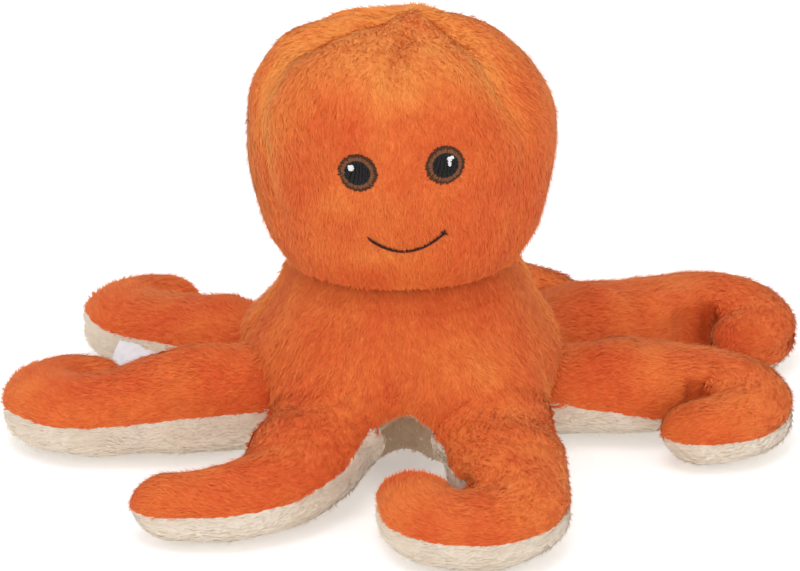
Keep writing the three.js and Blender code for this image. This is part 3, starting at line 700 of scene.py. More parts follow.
def around(angle, other):
    """The angle from another one, from -pi to pi."""
    return (angle - other + np.pi) % (2 * np.pi) - np.pi


def skirt_height(angle):
    """Height of the seam round the body: raised in an arch between the front arms."""
    return SKIRT_HEIGHT + CROTCH_RISE * bell(around(angle, CROTCH_ANGLE), CROTCH_WIDTH)


def hollowed(points):
    """Points of the sole low between the front arms, where it is drawn in and up off the table: moved
    up by a third of their distance beyond the middle, and inwards below the seam."""
    x, y, z = np.moveaxis(points, -1, 0)
    radius = np.maximum(np.hypot(x, y), 1)
    angle = np.arctan2(y, x)
    between = bell(around(angle, CROTCH_ANGLE), HOLLOW_WIDTH)
    below = skirt_height(angle) - z
    up = DRAWN_UP * np.clip(radius - 14, 0, 30) * between * smoothstep(0.5, 14, below)
    drawn_in = DRAWN_IN * smoothstep(0.5, 12, below) * smoothstep(18, 38, radius)
    drawn_in = drawn_in + RIM_SUNK * smoothstep(-3, 0, below)
    inwards = 1 - drawn_in / radius * between
    return stacked(x * inwards, y * inwards, z + up)


def nearest_heading(points):
    """The way the nearest arm sets off, at each point."""
    nearest = np.argmin([arm.distance_from(points) for arm in ARMS], axis=0)
    return np.array([(np.cos(arm.heading), np.sin(arm.heading), 0) for arm in ARMS])[nearest]


SIDE_RADIUS = 45
SIDE_SEAM = [(1.1, 0, 1.6), (-0.5, 3.5, 2)]
FOLD_DEPTH, FOLD_WIDTH = 1.2, 2.6
deep = moved_in(body_outline, PILE_DEPTH)


def body_panel(node, start, end, seed):
    """One of the two orange panels, with a soft fold in front over the parting of the arms, a seam
    that stands up between two valleys at each side, and swells where it is stuffed."""
    angle = np.linspace(start, end, 130)[None, :]
    rise = np.linspace(0, 1, 84)[:, None]
    height = skirt_height(angle) + (deep[-1, 1] - skirt_height(angle)) * rise
    points = on_body(body_radius(height, deep), body_radius(height), angle, height)
    other = arms_distance(points) + PILE_DEPTH
    heading = nearest_heading(points)
    points, own = flowed(points, PILE_DEPTH, other)
    normals, _ = grid_normals(points)
    crease = -1.5 - 4.5 * np.clip((height - 25) / 14, 0, 1)
    fold = bell(points[..., 0] - crease, FOLD_WIDTH) * smoothstep(42, 30, height)
    fold = fold * (points[..., 1] < 0) * smoothstep(0.5, 5, height - skirt_height(angle))
    beside = np.minimum(angle - start, end - angle) * SIDE_RADIUS
    ridge = smoothstep(18, 26, height)
    seam = bells(beside, SIDE_SEAM)
    swell = 0.5 * lumps(points, 15, 21) * smoothstep(60, 50, height) * smoothstep(0, 10, other)
    dent = (FOLD_DEPTH * fold + seam * ridge) * own + swell
    points = points - normals * dent[..., None]
    comb = turned_nap(-np.gradient(points, axis=0), heading, normals, other)
    # Painted light and shade: the pile is lighter on the ridge beside each side seam in front, a painted
    # highlight, and darker in the fold, a painted shade.
    tone = 0.3 * bell(beside - 3, 3) * ridge * (points[..., 1] < 12) - 0.25 * fold
    plush(node, "torso", points, comb, keep=own * np.where(height > 60, 0.3, 1), tone=tone, seed=seed)


body_panel("body_front_panel", -np.pi, 0, 31)
body_panel("body_back_panel", 0, np.pi, 32)

SOLE_LIFT = 1.2
sole_angle = np.linspace(0, 2 * np.pi, 160)[None, :]
edge = np.concatenate([np.linspace(0, 0.5, 8)[:-1], np.linspace(0.5, 1, 40)])[:, None]
low = deep[1:25]
bowl = np.linspace(0.5, 1, len(low))
sole_radius = np.where(edge < 0.5, edge * 2 * low[0, 0], np.interp(edge, bowl, low[:, 0]))
sole_height = np.where(edge < 0.5, SOLE_LIFT, np.interp(edge, bowl, np.maximum(low[:, 1], SOLE_LIFT)))
sole_height = sole_height + (skirt_height(sole_angle) - SKIRT_HEIGHT) * edge**3
raised = body_radius(sole_height, deep) - low[-1, 0]
sole_radius = sole_radius + np.where(sole_height > SKIRT_HEIGHT, raised, 0)
sole_points = on_body(sole_radius, sole_radius + PILE_DEPTH, sole_angle, sole_height)
sole_other = arms_distance(sole_points) + PILE_DEPTH
sole_points, sole_own = flowed(sole_points, PILE_DEPTH, sole_other)
sole_points = hollowed(sole_points)
# Painted shade: the cream pile is darker under the arch between the front arms, and less so near its top.
sole_painted_shade = -0.6 * bell(around(sole_angle, CROTCH_ANGLE), 0.4)
sole_painted_shade = sole_painted_shade * (1 - 0.35 * smoothstep(21, 26, sole_points[..., 2]))
plush("body_sole", "torso", sole_points, unit(-np.gradient(sole_points, axis=0)), orange=False, closed=True,
      keep=sole_own * np.where(edge < 0.55, 0.3, 1), tone=sole_painted_shade, seed=33)


# The skins of the arms. The seam runs along the middle of each side, and rises at the root to meet the
# seam round the body. The cloth on the inside of the hook is gathered in folds.
ROW_PITCH = 1.3
GROOVE_DEPTH, GROOVE_WIDTH = 1.1, 2.2
GATHER_DEPTH = 0.35


def arm_skin(arm, turn, depth):
    """A grid of the arm's surface: along it from the inner end of its root ball to its tip, and round
    it by turn, from 0 on the outside of the curl over the top to pi on the inside. Across, it is an
    ellipse, |sin| raised to full for its height, which is fuller inside the curl."""
    back = -(ROOT_BALL - depth) * np.cos(np.linspace(0.35, np.pi / 2, 8)[:-1])
    middle = np.linspace(0, arm.length, int(arm.length / ROW_PITCH))
    cap = np.linspace(0, np.pi / 2, 10)[1:]
    end_wide = arm.half_width(arm.length) - depth
    rows = np.concatenate([back, middle, arm.length + end_wide * np.sin(cap)])[:, None]
    distance = np.clip(rows, 0, arm.length)
    shrink = np.sqrt(np.clip(1 - (np.minimum(rows, 0) / (ROOT_BALL - depth)) ** 2, 0, 1))
    beyond = np.maximum(rows - arm.length, 0)
    shrink = shrink * np.sqrt(np.clip(1 - (beyond / end_wide) ** 2, 0, 1))
    x, y, heading = arm.spine(distance)
    ahead = np.minimum(rows, 0) + beyond
    x = x + ahead * np.cos(heading)
    y = y + ahead * np.sin(heading)
    wide, high = arm.half_width(distance), arm.half_height(distance)
    drawn = smoothstep(arm.stem * DRAW_SHARE, arm.stem, distance)
    tight = np.minimum(wide, HALF_WIDTH + (arm.hook - FOLD_GAP - HALF_WIDTH) * drawn)
    centre = high + FLOOR_GAP - ROOT_HEIGHT
    side = np.cos(turn)
    inside = np.clip(-side, 0, 1)
    gathers = GATHER_DEPTH * np.sin(distance / 1.3 + 1.5 * np.sin(distance / 5)) * drawn * inside
    curled = drawn * smoothstep(arm.length, arm.length - 18, distance) * (arm.turn > 2)
    full = 1 - 0.7 * curled * inside**0.5
    outwards = np.where(side > 0, wide, tight) - depth + gathers * (arm.turn > 1.5)
    groove = GROOVE_DEPTH * bell(np.sin(turn) * high, GROOVE_WIDTH)
    reach = (outwards - groove) * shrink * side
    level = centre + (high - depth) * shrink * np.sign(np.sin(turn)) * np.abs(np.sin(turn)) ** full
    floor = depth * 0.5 + FLOOR_GAP - ROOT_HEIGHT
    level = np.where(level < floor + 2, floor + 2 - 2 * (1 - np.exp((level - floor - 2) / 2)), level)
    local = stacked(x - np.sin(heading) * reach, y + np.cos(heading) * reach, level)
    return arm.world(local), rows


def stuffed(points, share):
    """Points moved out and in along their normals where the filling bulges and sinks."""
    normals, _ = grid_normals(points)
    bulge = 0.55 * lumps(points, 13, 41) + 0.25 * lumps(points, 6, 42)
    return points + normals * (bulge * share)[..., None]


for number, arm in enumerate(ARMS):
    for part in ("top", "sole"):
        share = np.linspace(0, 1, 40)[None, :]
        _, rows = arm_skin(arm, share, PILE_DEPTH)
        outer_seam, inner_seam = arm.seam(rows, False), np.pi - arm.seam(rows, True)
        if part == "sole":
            outer_seam, inner_seam = inner_seam - 2 * np.pi, outer_seam
        turn = outer_seam + (inner_seam - outer_seam) * share
        points, rows = arm_skin(arm, turn, PILE_DEPTH)
        near_root = rows < min(arm.stem, 36)
        other = np.where(near_root, body_distance(points) + PILE_DEPTH, 99)
        joined, own = flowed(points, PILE_DEPTH, other)
        points = stuffed(np.where(near_root[..., None], joined, points), smoothstep(0, 10, other))
        normals, _ = grid_normals(points)
        fall = np.array([0, 0, -1.0 if part == "top" else 1.0])
        comb = turned_nap(np.gradient(points, axis=0), fall, normals, other)
        keep = own * np.where(np.sin(turn) < -0.75, 0.25, 1)
        plush("arm_%s_%s" % (arm.name, part), None, points, comb, orange=part == "top", keep=keep,
              tone=ARM_TONE + 0 * keep, seed=50 + number * 2 + (part == "sole"), bend=arm.bend())

# Head: a stuffed pear on its narrow end, sewn from four gores of orange plush with a dart above the
# face. It is pulled in at the seams, most near the crown, and its rim is tucked under at the neck.
HEAD_RADIUS = 46.3
HEAD_HEIGHT = 75.3
HEAD_LEAN = np.radians(-1.1)
HEAD_SWAY = 2.5
RIM_RADIUS = 35.68
RIM_HEIGHT = 21.77
HEAD_SHARES = np.array([(0.783, 0.07), (0.883, 0.185), (0.954, 0.33), (1, 0.5), (0.99, 0.67), (0.922, 0.785),
                        (0.802, 0.885), (0.655, 0.955), (0.355, 0.99), (0, 1)])
HEAD_SEAMS = [-36, 34, 152, 208]
COLUMN_PITCH = 2.6
HEAD_DEPTH_SHARE = 0.95
CROWN_BACK, CROWN_RIGHT = 20, 5
CROWN_DIP, CROWN_DIP_WIDTH = 1.8, 8
CROWN_TUFT = [(1.6, -4, 5), (-2.2, 7, 4.5)]
SEAM_GROOVE, CROWN_GROOVE, SEAM_GROOVE_WIDTH = 0.5, 0.3, 3
SEAM_HOLLOW, CROWN_HOLLOW, SEAM_HOLLOW_ANGLE = 0.8, 2.1, 0.24
CLEFT_DEPTH, CLEFT_WIDTH = 1.9, 1.7
VALLEY_DEPTH, VALLEY_WIDTH = 0.9, 5
FACE_LIFT = 1.8
HEAD_SWELL = 0.6
SOCKET_WIDTH = 6.5
LEFT_SEAM = [(22, 0), (30, 7), (47, 7), (65, 0), (80, -10), (90, -8), (97, 0)]
DART_ANGLE = np.radians(-91)
# Patches where the pile was brushed up, lighter or darker, partly the nap and partly painted sheen and
# shade: across, up, width, height and amount.
NAP_SHEEN_PATCHES = [(-21, 57, 5, 4, 0.3), (-9, 40, 8, 2.5, 0.3), (-14, 50, 9, 4, -0.12), (-4, 82, 12, 8, -0.14),
               (22, 62, 14, 14, -0.06), (30, 40, 10, 9, -0.06), (-4, 56, 5, 5, 0.1), (-32, 80, 6, 10, 0.1)]

head_outline = HEAD_SHARES * (HEAD_RADIUS, HEAD_HEIGHT) + (0, RIM_HEIGHT)
head_outline = smooth_line([(RIM_RADIUS, RIM_HEIGHT), *head_outline], 160)


def head_line(depth, count):
    """The head's outline moved inwards, from the cloth tucked under at the rim to the crown."""
    inner = moved_in(head_outline, depth)
    inner = inner[inner[:, 1] > RIM_HEIGHT + 4.5]
    inner[-1, 0] = 0
    tuck = np.array([(26, 35.6), (30, 32.4), (33, 28.9), (34.4, 26.2)]) + np.array([(PILE_DEPTH - depth, 0)])
    line = np.concatenate([tuck, np.maximum(inner, 0)])
    apart = np.concatenate([[0], np.cumsum(np.linalg.norm(np.diff(line, axis=0), axis=1))])
    rows = np.linspace(0, apart[-1], count)
    return stacked(np.interp(rows, apart, line[:, 0]), np.interp(rows, apart, line[:, 1]))


def head_surface(line, angle):
    """Points of the head for an outline and angles round it: flatter from front to back, pulled in at
    each seam by a narrow groove and a broad hollow, and at the dart by a cleft in a valley. The crown,
    where the seams meet, lies behind the middle, and the points near it are moved back along the
    surface. It has a dip, and in front of it a small tuft beside a hollow."""
    radius, height = line[:, None, 0], line[:, None, 1]
    widest = line[:, 0].argmax()
    upper = height >= line[widest, 1]
    shift = np.where(upper, np.clip(1 - (radius / line[widest, 0]) ** 2, 0, 1) ** 2, 0)
    bend = np.radians(np.interp(height, *np.transpose(LEFT_SEAM)))
    swung = angle + bend * bell(around(angle, np.radians(HEAD_SEAMS[-1])), 0.6)
    across = radius * np.cos(swung) + CROWN_RIGHT * shift
    along = radius * np.sin(swung) + CROWN_BACK * shift
    outwards = np.hypot(across, along)
    slope = unit(np.gradient(line, axis=0))
    over = line[widest:][::-1]
    facing = slope[widest:][::-1]
    level = np.where(upper, np.interp(outwards, over[:, 0], over[:, 1]), height)
    flat = np.where(upper, np.interp(outwards, over[:, 0], facing[:, 1]), slope[:, None, 1])
    steep = np.where(upper, -np.interp(outwards, over[:, 0], facing[:, 0]), -slope[:, None, 0])
    rise = np.clip((height - RIM_HEIGHT) / (HEAD_HEIGHT / 3), 0, 1)
    crown = smoothstep(58, 95, height)
    dip = 0
    for seam in np.radians(HEAD_SEAMS):
        apart = around(angle, seam)
        groove = bell(apart * np.maximum(radius, 4), SEAM_GROOVE_WIDTH)
        dip = dip + (SEAM_GROOVE + CROWN_GROOVE * crown) * groove
        dip = dip + (SEAM_HOLLOW + CROWN_HOLLOW * crown) * bell(apart, SEAM_HOLLOW_ANGLE)
    dip = dip * np.minimum(1, radius / 10) + CROWN_DIP * bell(radius, CROWN_DIP_WIDTH)
    dart = around(angle, DART_ANGLE) * radius
    cleft = CLEFT_DEPTH * bell(dart, CLEFT_WIDTH) * smoothstep(13, 19, radius) * smoothstep(80, 91, height)
    valley = VALLEY_DEPTH * bell(dart, VALLEY_WIDTH) * smoothstep(70, 90, height) * smoothstep(6, 16, radius)
    tuft = bells(across, CROWN_TUFT) * (bell(along - 14, 14) * upper)
    dip = (dip + cleft + valley + tuft) * rise
    share = (outwards - dip * flat) / np.maximum(outwards, 0.1)
    depth = 1 - (1 - HEAD_DEPTH_SHARE) * rise
    front = np.clip(-np.sin(angle), 0, 1) * (1 - smoothstep(0, 14, height - RIM_HEIGHT))
    z = level - dip * steep + FACE_LIFT * front
    sway = HEAD_SWAY * smoothstep(RIM_HEIGHT + 0.6 * HEAD_HEIGHT, RIM_HEIGHT + HEAD_HEIGHT, level)
    return stacked(across * share - sway, along * share * depth, z)


def head_placed(points):
    """From the head's own frame, at the middle of the neck ball, to the toy's: leaned and raised."""
    x, y, z = np.moveaxis(points, -1, 0)
    x, z = turned(x, z, -HEAD_LEAN)
    return stacked(x, y, z + NECK_BALL_HEIGHT)


def head_local(points):
    x, y, z = np.moveaxis(points, -1, 0)
    x, z = turned(x, z - NECK_BALL_HEIGHT, HEAD_LEAN)
    return stacked(x, y, z)


EYE_TILT, MOUTH_TILT = np.tan(np.radians([4.2, 2.6]))
EYE_RADIUS = 5.6
EYE_HEIGHT = 67.7
EYE_APART, EYE_OFFSET = 12.75, 0.2
EYE_PLACES = [(EYE_OFFSET + side * EYE_APART, EYE_HEIGHT + side * EYE_APART * EYE_TILT) for side in (-1, 1)]
MOUTH_WIDTH, MOUTH_HEIGHT, MOUTH_SAG, MOUTH_OFFSET = 22.5, 46.4, 4.8, 1.15
mouth_side = np.linspace(-1, 1, 60)
mouth_line = stacked(
    MOUTH_OFFSET + mouth_side * MOUTH_WIDTH / 2,
    MOUTH_HEIGHT - MOUTH_SAG * (1 - mouth_side**2) + MOUTH_TILT * mouth_side * MOUTH_WIDTH / 2,
)


def face_trim(points):
    """How the pile is kept off the embroidery: none on the eyes and the mouth, short round them, and
    parted away from them. A feature is the way from it, the edge of its bare place, its shortest
    pile, and the distances over which the pile grows back and over which it is parted."""
    p = head_local(points)
    flat = p[:, [0, 2]]
    gap = flat[:, None, :] - mouth_line[None]
    nearest = gap[np.arange(len(p)), np.linalg.norm(gap, axis=-1).argmin(1)]
    r = EYE_RADIUS
    features = [(flat - place, r - 0.2, 0.45, (r - 0.5, r + 5), (r, r + 3.5)) for place in EYE_PLACES]
    features.append((nearest, 0.45, 0.5, (0.4, 3.5), (0.5, 2.4)))
    stays, shorter, parted = np.ones(len(p)), np.ones(len(p)), np.zeros(len(p))
    away = np.zeros_like(p)
    for off, bare, least, grown, pulled in features:
        apart = np.linalg.norm(off, axis=1)
        stays = stays * (apart > bare)
        shorter = np.minimum(shorter, least + (1 - least) * smoothstep(*grown, apart))
        pull = 1 - smoothstep(*pulled, apart)
        away += stacked(off[:, 0], 0, off[:, 1]) / np.maximum(apart, 0.1)[:, None] * pull[:, None]
        parted = np.maximum(parted, pull)
    return stays, shorter, away, parted * 0.9


def head_painted_light(points, radius, angle):
    """How much lighter or darker the pile is: painted highlights on the ridges beside the upper seams and
    beside the dart, painted light over the crown and down the left side, darker at a small spot on the
    crown, and lighter or darker in patches where it was brushed up, which are partly the nap and partly
    painted sheen."""
    x, y, z = np.moveaxis(points, -1, 0)
    crown = smoothstep(52, 88, z)
    tone = 0.4 * smoothstep(80, 95, z) + 0.2 * smoothstep(-33, -43, x)
    tone = tone - 0.6 * np.exp(-(((x - 3) / 4) ** 2) - ((z - 98) / 2) ** 2 - ((y - 12) / 7) ** 2)
    for seam in np.radians(HEAD_SEAMS):
        beside = np.abs(around(angle, seam)) * radius
        tone = tone + 0.3 * crown * bell(beside - 2, 3)
    dart = around(angle, DART_ANGLE) * radius
    tone = tone + 0.1 * bell(dart + 3, 2.2) * smoothstep(76, 86, z)
    for across, up, wide, high, amount in NAP_SHEEN_PATCHES:
        tone = tone + amount * np.exp(-(((x - across) / wide) ** 2) - ((z - up) / high) ** 2) * (y < 0)
    return tone


def head_panel(node, start, end, seed, trim=None):
    angle = np.linspace(np.radians(start), np.radians(end), int((end - start) / COLUMN_PITCH))[None, :]
    line = head_line(PILE_DEPTH, 84)
    points = head_surface(line, angle)
    for place in EYE_PLACES if trim else []:
        apart = np.hypot(points[..., 0] - place[0], points[..., 2] - place[1])
        points = points + stacked(0, bell(apart, SOCKET_WIDTH), 0)
    normals, _ = grid_normals(points)
    swell = HEAD_SWELL * lumps(points, 17, 61) * smoothstep(24, 34, points[..., 2])
    points = points - normals * swell[..., None]
    local = points
    points = head_placed(points)
    keep = np.where(np.arange(len(line))[:, None] < 6, 0.2, 1) + 0 * angle
    plush(node, "head", points, unit(-np.gradient(points, axis=0)), keep=keep, trim=trim,
          tone=head_painted_light(local, line[:, None, 0], angle), seed=seed)
    return local, points


face_local, face_points = head_panel("face_panel", HEAD_SEAMS[-1] - 360, HEAD_SEAMS[0], 71, face_trim)
for panel, start, end, seed in zip(("right", "back", "left"), HEAD_SEAMS, HEAD_SEAMS[1:], (72, 73, 74)):
    head_panel("head_%s_panel" % panel, start, end, seed)

# Face: two eyes and a mouth, embroidered through the plush before the head was filled. Each iris is
# two rings of radial stitches, each pupil is rows of satin stitch, each glint is a few white stitches,
# and the mouth is a line of stem stitch that ends in a small tick.
face_normals, _ = grid_normals(face_points)
face_flat = face_local[..., [0, 2]].reshape(-1, 2)
face_points, face_normals = face_points.reshape(-1, 3), face_normals.reshape(-1, 3)
head_across = head_placed(np.array([1.0, 0, 0])) - head_placed(np.zeros(3))
head_up = head_placed(np.array([0, 0, 1.0])) - head_placed(np.zeros(3))


def on_face(flat, lift):
    """Points and normals at places on the face, each lifted from the plane that touches the cloth at
    the nearest point of its grid."""
    places = flat.reshape(-1, 2)
    parts = np.array_split(places, 1 + len(places) // 400)
    nearest = np.concatenate([((face_flat[None] - part[:, None]) ** 2).sum(-1).argmin(1) for part in parts])
    off = places - face_flat[nearest]
    base, normal = face_points[nearest], face_normals[nearest]
    step = off[:, :1] * head_across + off[:, 1:] * head_up
    sunk = (step * normal).sum(-1, keepdims=True) / np.minimum(normal[:, 1:2], -0.2)
    points = base + step - sunk * np.array([0, 1, 0]) + normal * np.ravel(lift)[:, None]
    return points.reshape(*flat.shape[:-1], 3), normal.reshape(*flat.shape[:-1], 3)


def threads(centres, normals, radius, sides=6):
    """Vertices and faces of tubes along rows of points, a little flat, and slim and closed at the ends."""
    count, length = centres.shape[:2]
    along = unit(np.gradient(centres, axis=1))
    side = unit(np.cross(along, normals))
    up = np.cross(side, along)
    turn = np.linspace(0, 2 * np.pi, sides, endpoint=False)[:, None]
    slim = np.interp(np.linspace(-1, 1, length), [-1, -0.75, 0.75, 1], [0.45, 1, 1, 0.45])[:, None, None]
    ring = side[..., None, :] * np.cos(turn) + up[..., None, :] * np.sin(turn) * 0.75
    vertices = (centres[..., None, :] + ring * slim * radius).reshape(-1, 3)
    index = np.arange(count * length * sides).reshape(count, length, sides)
    nearer, farther = index[:, :-1], index[:, 1:]
    walls = stacked(nearer, np.roll(nearer, -1, 2), np.roll(farther, -1, 2), farther)
    ends = np.concatenate([index[:, 0, ::-1], index[:, -1]])
    return vertices, [*walls.reshape(-1, 4).tolist(), *ends.tolist()]


def embroidery(node, finish, layers):
    """One object from layers of stitches. A layer is ends on the face, lift at the ends and in the
    middle, thread radius and tone."""
    vertices, faces, tones = [], [], []
    for starts, stops, low, high, radius, tone in layers:
        t = np.linspace(0, 1, 7)[:, None]
        flat = starts[:, None] * (1 - t) + stops[:, None] * t
        lift = low + (high - low) * np.sin(np.pi * t[:, 0]) ** 0.6 + 0 * flat[..., 0]
        made, sides = threads(*on_face(flat, lift), radius)
        shift = sum(len(v) for v in vertices)
        faces += [[corner + shift for corner in side] for side in sides]
        vertices.append(made)
        tones.append(np.full(len(made), tone))
    mesh = bpy.data.meshes.new(node)
    mesh.from_pydata((np.concatenate(vertices) * MM).tolist(), [], faces)
    mesh.polygons.foreach_set("use_smooth", [True] * len(mesh.polygons))
    paint(mesh, "tone", np.concatenate(tones))
    fixed(placed(node + "_threads", mesh, finish), "head", None, node)


def thread_finish(name, dark, light):
    """Glossy embroidery thread, its plies as fine bump."""
    finish = Finish(name)
    mottle = finish.painted("tone") + 0.35 * (finish.noise(1500, 2) - 0.5)
    colour = finish.ramp([(0, dark), (1, light)], mottle)
    plies = finish.bump(finish.noise(5000, 1), 0.0001, 0.5)
    return finish.set(Base_Color=colour, Roughness=0.65, Specular_IOR_Level=0.3, Normal=plies)


brown_thread = thread_finish("brown_thread", (0.045, 0.015, 0.006), (0.23, 0.085, 0.035))
black_thread = thread_finish("black_thread", (0.004, 0.004, 0.004), (0.022, 0.02, 0.02))
white_thread = thread_finish("white_thread", (0.7, 0.69, 0.72), (0.9, 0.9, 0.92))
maroon_thread = thread_finish("maroon_thread", (0.012, 0.003, 0.003), (0.05, 0.01, 0.008))
stitch = np.random.default_rng(91)
IRIS_STITCHES = 84
DARK_RING = (4.3, EYE_RADIUS + 0.1)
LIGHT_RING = (3.3, 5)
PUPIL_RADIUS, PUPIL_PITCH, PUPIL_STITCH = 3.85, 0.4, 2.4
GLINTS = {
    "left": [(-2.7, 2.2, -1.2, 2.3), (-2.9, 1.8, -0.8, 1.9), (-2.8, 1.3, -0.7, 1.4), (-2.6, 0.9, -1, 0.9),
             (-2.2, 0.6, -1.6, 2.6), (-1.6, 0.8, -1.2, 2.4)],
    "right": [(0.5, 2.3, 2.5, 2.5), (0.3, 1.9, 2.4, 2), (1.6, 2.8, 2.5, 1.8), (0.6, 1.5, 1.9, 1.4),
              (1.1, 1.6, 0.9, -0.3), (0.6, 0.9, 1.7, 0.6), (1.5, 1, 1.2, -0.5), (0.8, 0.3, 1.6, 0)],
}


def polar(centre, radius, angle):
    return np.array(centre) + stacked(np.cos(angle), np.sin(angle)) * np.reshape(radius, (-1, 1))


for side, place in zip(("left", "right"), EYE_PLACES):
    angle = np.linspace(0, 2 * np.pi, IRIS_STITCHES, endpoint=False) + stitch.normal(0, 0.02, IRIS_STITCHES)
    outer = DARK_RING[1] + stitch.normal(0, 0.16, IRIS_STITCHES)
    middle = LIGHT_RING[1] + stitch.normal(0, 0.12, IRIS_STITCHES)
    between = angle + 0.03
    embroidery("eye_%s_iris" % side, brown_thread, [
        (polar(place, DARK_RING[0], angle), polar(place, outer, angle), 0.15, 0.42, 0.24, 0.15),
        (polar(place, LIGHT_RING[0], between), polar(place, middle, between), 0.3, 0.62, 0.21, 0.85),
    ])
    starts, stops = [], []
    for row, across in enumerate(np.arange(-3.6, 3.7, PUPIL_PITCH)):
        half = np.sqrt(max(PUPIL_RADIUS**2 - across**2, 0))
        cuts = np.arange(-half + (row % 3) * 0.8 - PUPIL_STITCH, half, PUPIL_STITCH)
        for low, high in zip(cuts, cuts + PUPIL_STITCH + 0.1):
            low, high = max(low, -half), min(high, half)
            if high - low > 0.5:
                starts.append((across + stitch.normal(0, 0.05), low))
                stops.append((across + stitch.normal(0, 0.05), high))
    tilt = np.array([[0.94, 0.34], [-0.34, 0.94]])
    starts, stops = np.array(starts) @ tilt + place, np.array(stops) @ tilt + place
    embroidery("eye_%s_pupil" % side, black_thread, [(starts, stops, 0.45, 0.8, 0.26, 0.4)])
    glint = np.array(GLINTS[side])
    embroidery("eye_%s_highlight" % side, white_thread, [
        (glint[:, :2] + place, glint[:, 2:] + place, 0.7, 1.15, 0.26, 0.7)])

steps = np.linspace(0, len(mouth_line) - 1, 15)
mouth = np.stack([np.interp(steps, np.arange(len(mouth_line)), mouth_line[:, k]) for k in (0, 1)], axis=-1)
starts, stops = mouth[:-2] + [0, 0.16], mouth[2:] - [0, 0.16]
tick = mouth[-1] + np.array([[-0.3, -0.9], [-1.1, 0.5], [0.2, -0.2]])
tick_end = mouth[-1] + np.array([[0.1, 1.0], [0.5, -0.5], [0.9, -0.6]])
embroidery("mouth_stitching", maroon_thread, [
    (starts, stops, 0.25, 0.75, 0.36, 0.4), (tick, tick_end, 0.3, 0.75, 0.25, 0.4)])

# Filling: white polyester fibre in the head, the body, the neck and each arm, and a cloth pouch of
# pellets low in the body for weight. Each lies close inside its cloth and bulges unevenly.
fibre = mottled_finish("fibre_fill", (0.88, 0.88, 0.87), (0.72, 0.72, 0.7), (300, 4), 1, (700, 4), 0.0006)
pouch = mottled_finish("pouch_cloth", (0.72, 0.69, 0.64), (0.6, 0.57, 0.52), (900, 2), 0.9, (450, 1), 0.0008)
CUP_RADIUS = 30
PROBE_STEPS = 48
HEAD_HOLLOW = 42.3
POUCH_RADIUS, POUCH_HEIGHT = 19, 7


def revolved(radius, height):
    """The grid that an outline makes when it is turned about the upright axis."""
    radius, height = np.reshape(radius, (-1, 1)), np.reshape(height, (-1, 1))
    return stacked(radius * np.cos(around_body), radius * np.sin(around_body), height)


def stuffing(node, body, points, bulge=0.4, finish=fibre, bend=None):
    """A closed lump from a grid whose columns go right round and whose first and last rows are
    single points, which stand for a CAD node of filling."""
    rows, columns = points.shape[:2]
    normals, inwards = grid_normals(points)
    points = points - normals * (bulge * (1 + lumps(points, 6, 17)) / 2)[..., None]
    points[0], points[-1] = points[0].mean(0), points[-1].mean(0)
    faces = quads(rows, columns)
    mesh = mesh_of(node, points.reshape(-1, 3), faces[:, ::-1] if inwards else faces)
    piece = placed(node + "_fill", mesh, finish)
    fixed(piece, body, bend, node)


around_body = np.linspace(0, 2 * np.pi, 97)[None, :]
line = head_line(FILLING_DEPTH, 70)
line = line[line[:, 1] > 27]
underside = np.linspace(0, np.arcsin(line[0, 0] / HEAD_HOLLOW), 14)[:-1]
line = np.concatenate([HEAD_HOLLOW * stacked(np.sin(underside), np.cos(underside)), line])
filling = head_surface(line, around_body)
stuffing("head_stuffing", "head", head_placed(filling), bulge=0.6)

inner = moved_in(body_outline, FILLING_DEPTH)
top = inner[inner[:, 1] > 54][0]
shell = inner[inner[:, 1] <= top[1]]
shell = np.concatenate([[[0, shell[0, 1]]], shell[shell[:, 0] > 0.5]])
cup_turn = np.linspace(np.arctan2(shell[-1, 0], shell[-1, 1] - NECK_BALL_HEIGHT), 0, 12)[1:]
cup = stacked(CUP_RADIUS * np.sin(cup_turn), NECK_BALL_HEIGHT + CUP_RADIUS * np.cos(cup_turn))
body_line = np.concatenate([shell, cup])
radius, height = body_line[:, None, 0], body_line[:, None, 1]
outside = on_body(radius, radius + FILLING_DEPTH, around_body, height)[..., None, :]
reach = np.linspace(0, 1, PROBE_STEPS)
probe = outside * stacked(reach, reach, 1)
free = arms_distance(probe.reshape(-1, 3)).reshape(probe.shape[:-1]) > 0.6
share = np.where(free.all(-1), 1, free.argmin(-1) / (PROBE_STEPS - 1))
filling = probe[..., -1, :] * stacked(share, share, 1)
stuffing("body_stuffing", "torso", hollowed(filling))

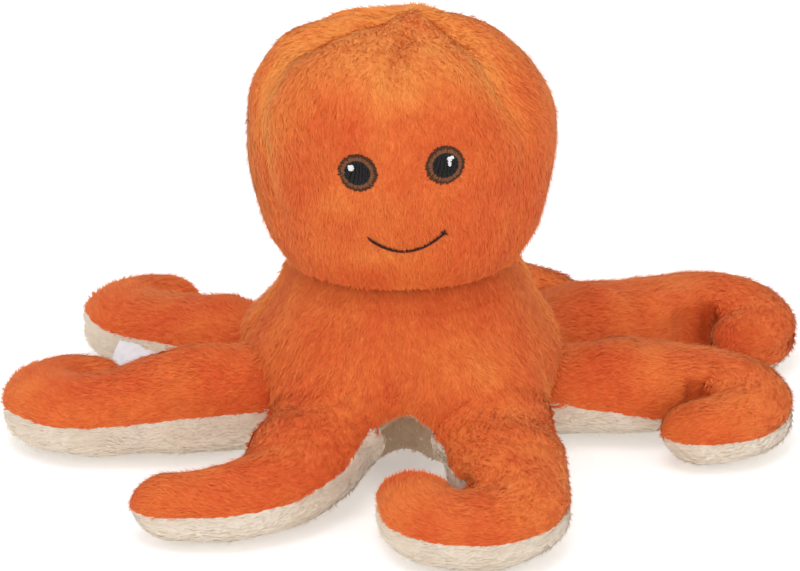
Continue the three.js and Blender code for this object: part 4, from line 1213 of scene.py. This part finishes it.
turn = np.concatenate([np.linspace(0, np.radians(56), 20), np.linspace(np.radians(56), 0, 20)])
depth = np.interp(turn[:20], np.radians([0, 32, 40]), [0.6, 0.6, FILLING_DEPTH + 0.6])
ball = NECK_BALL_RADIUS - np.concatenate([depth, np.full(20, 10)])
stuffing("neck_stuffing", "neck", revolved(ball * np.sin(turn), NECK_BALL_HEIGHT + ball * np.cos(turn)))

turn = np.linspace(-np.pi / 2, np.pi / 2, 30)
lump = revolved(POUCH_RADIUS * np.cos(turn), POUCH_HEIGHT + np.where(turn > 0, 6.4, 3.6) * np.sin(turn))
stuffing("pellet_pouch", "torso", lump, 0.5, pouch)

for arm in ARMS:
    filling, _ = arm_skin(arm, np.linspace(0, 2 * np.pi, 49)[None, :], FILLING_DEPTH)
    filling = stuffed(filling, smoothstep(0, 10, body_distance(filling)))
    filling = np.concatenate([filling[:1].mean(1, keepdims=True) + 0 * filling[:1], filling])
    stuffing("arm_%s_stuffing" % arm.name, None, filling, bend=arm.bend())

# Care label: a blank piece of white satin tape, sewn by one long edge into the outer seam of the rear left
# arm, from which it hangs down with a slight wave.
LABEL_LENGTH, LABEL_DROP, LABEL_THICKNESS = 26, 11.5, 0.35
LABEL_FROM = 20
WAVE_HEIGHT, WAVE_LENGTH = 0.7, 4.5
label_arm = next(arm for arm in ARMS if arm.name == "rear_left")
down = np.linspace(0, 1, 24)[:, None]
along = LABEL_FROM + LABEL_LENGTH * np.linspace(0, 1, 50)[None, :]
lift = label_arm.seam(along, False)
wide = label_arm.half_width(along) * np.cos(lift)
wave = WAVE_HEIGHT * np.sin(along / WAVE_LENGTH) * down
out = wide - 1.2 + 3.2 * smoothstep(0, 0.5, down) + 2.2 * down + wave
seam = label_arm.half_height(along) * (1 + np.sin(lift)) + FLOOR_GAP - ROOT_HEIGHT
fall = seam - 0.4 - LABEL_DROP * down
label_grid = label_arm.world(stacked(along, out, fall))
label_mesh = cloth_mesh("care_label", label_grid, *grid_normals(label_grid), thickness=LABEL_THICKNESS)
satin = mottled_finish(
    "label_satin", (0.82, 0.8, 0.83), (0.74, 0.72, 0.76), (500, 2), 0.5, (4000, 1), 0.0001, 0.4)
label = placed("care_label_tape", label_mesh, satin)
fixed(label, "arm_rear_left", None, "care_label")
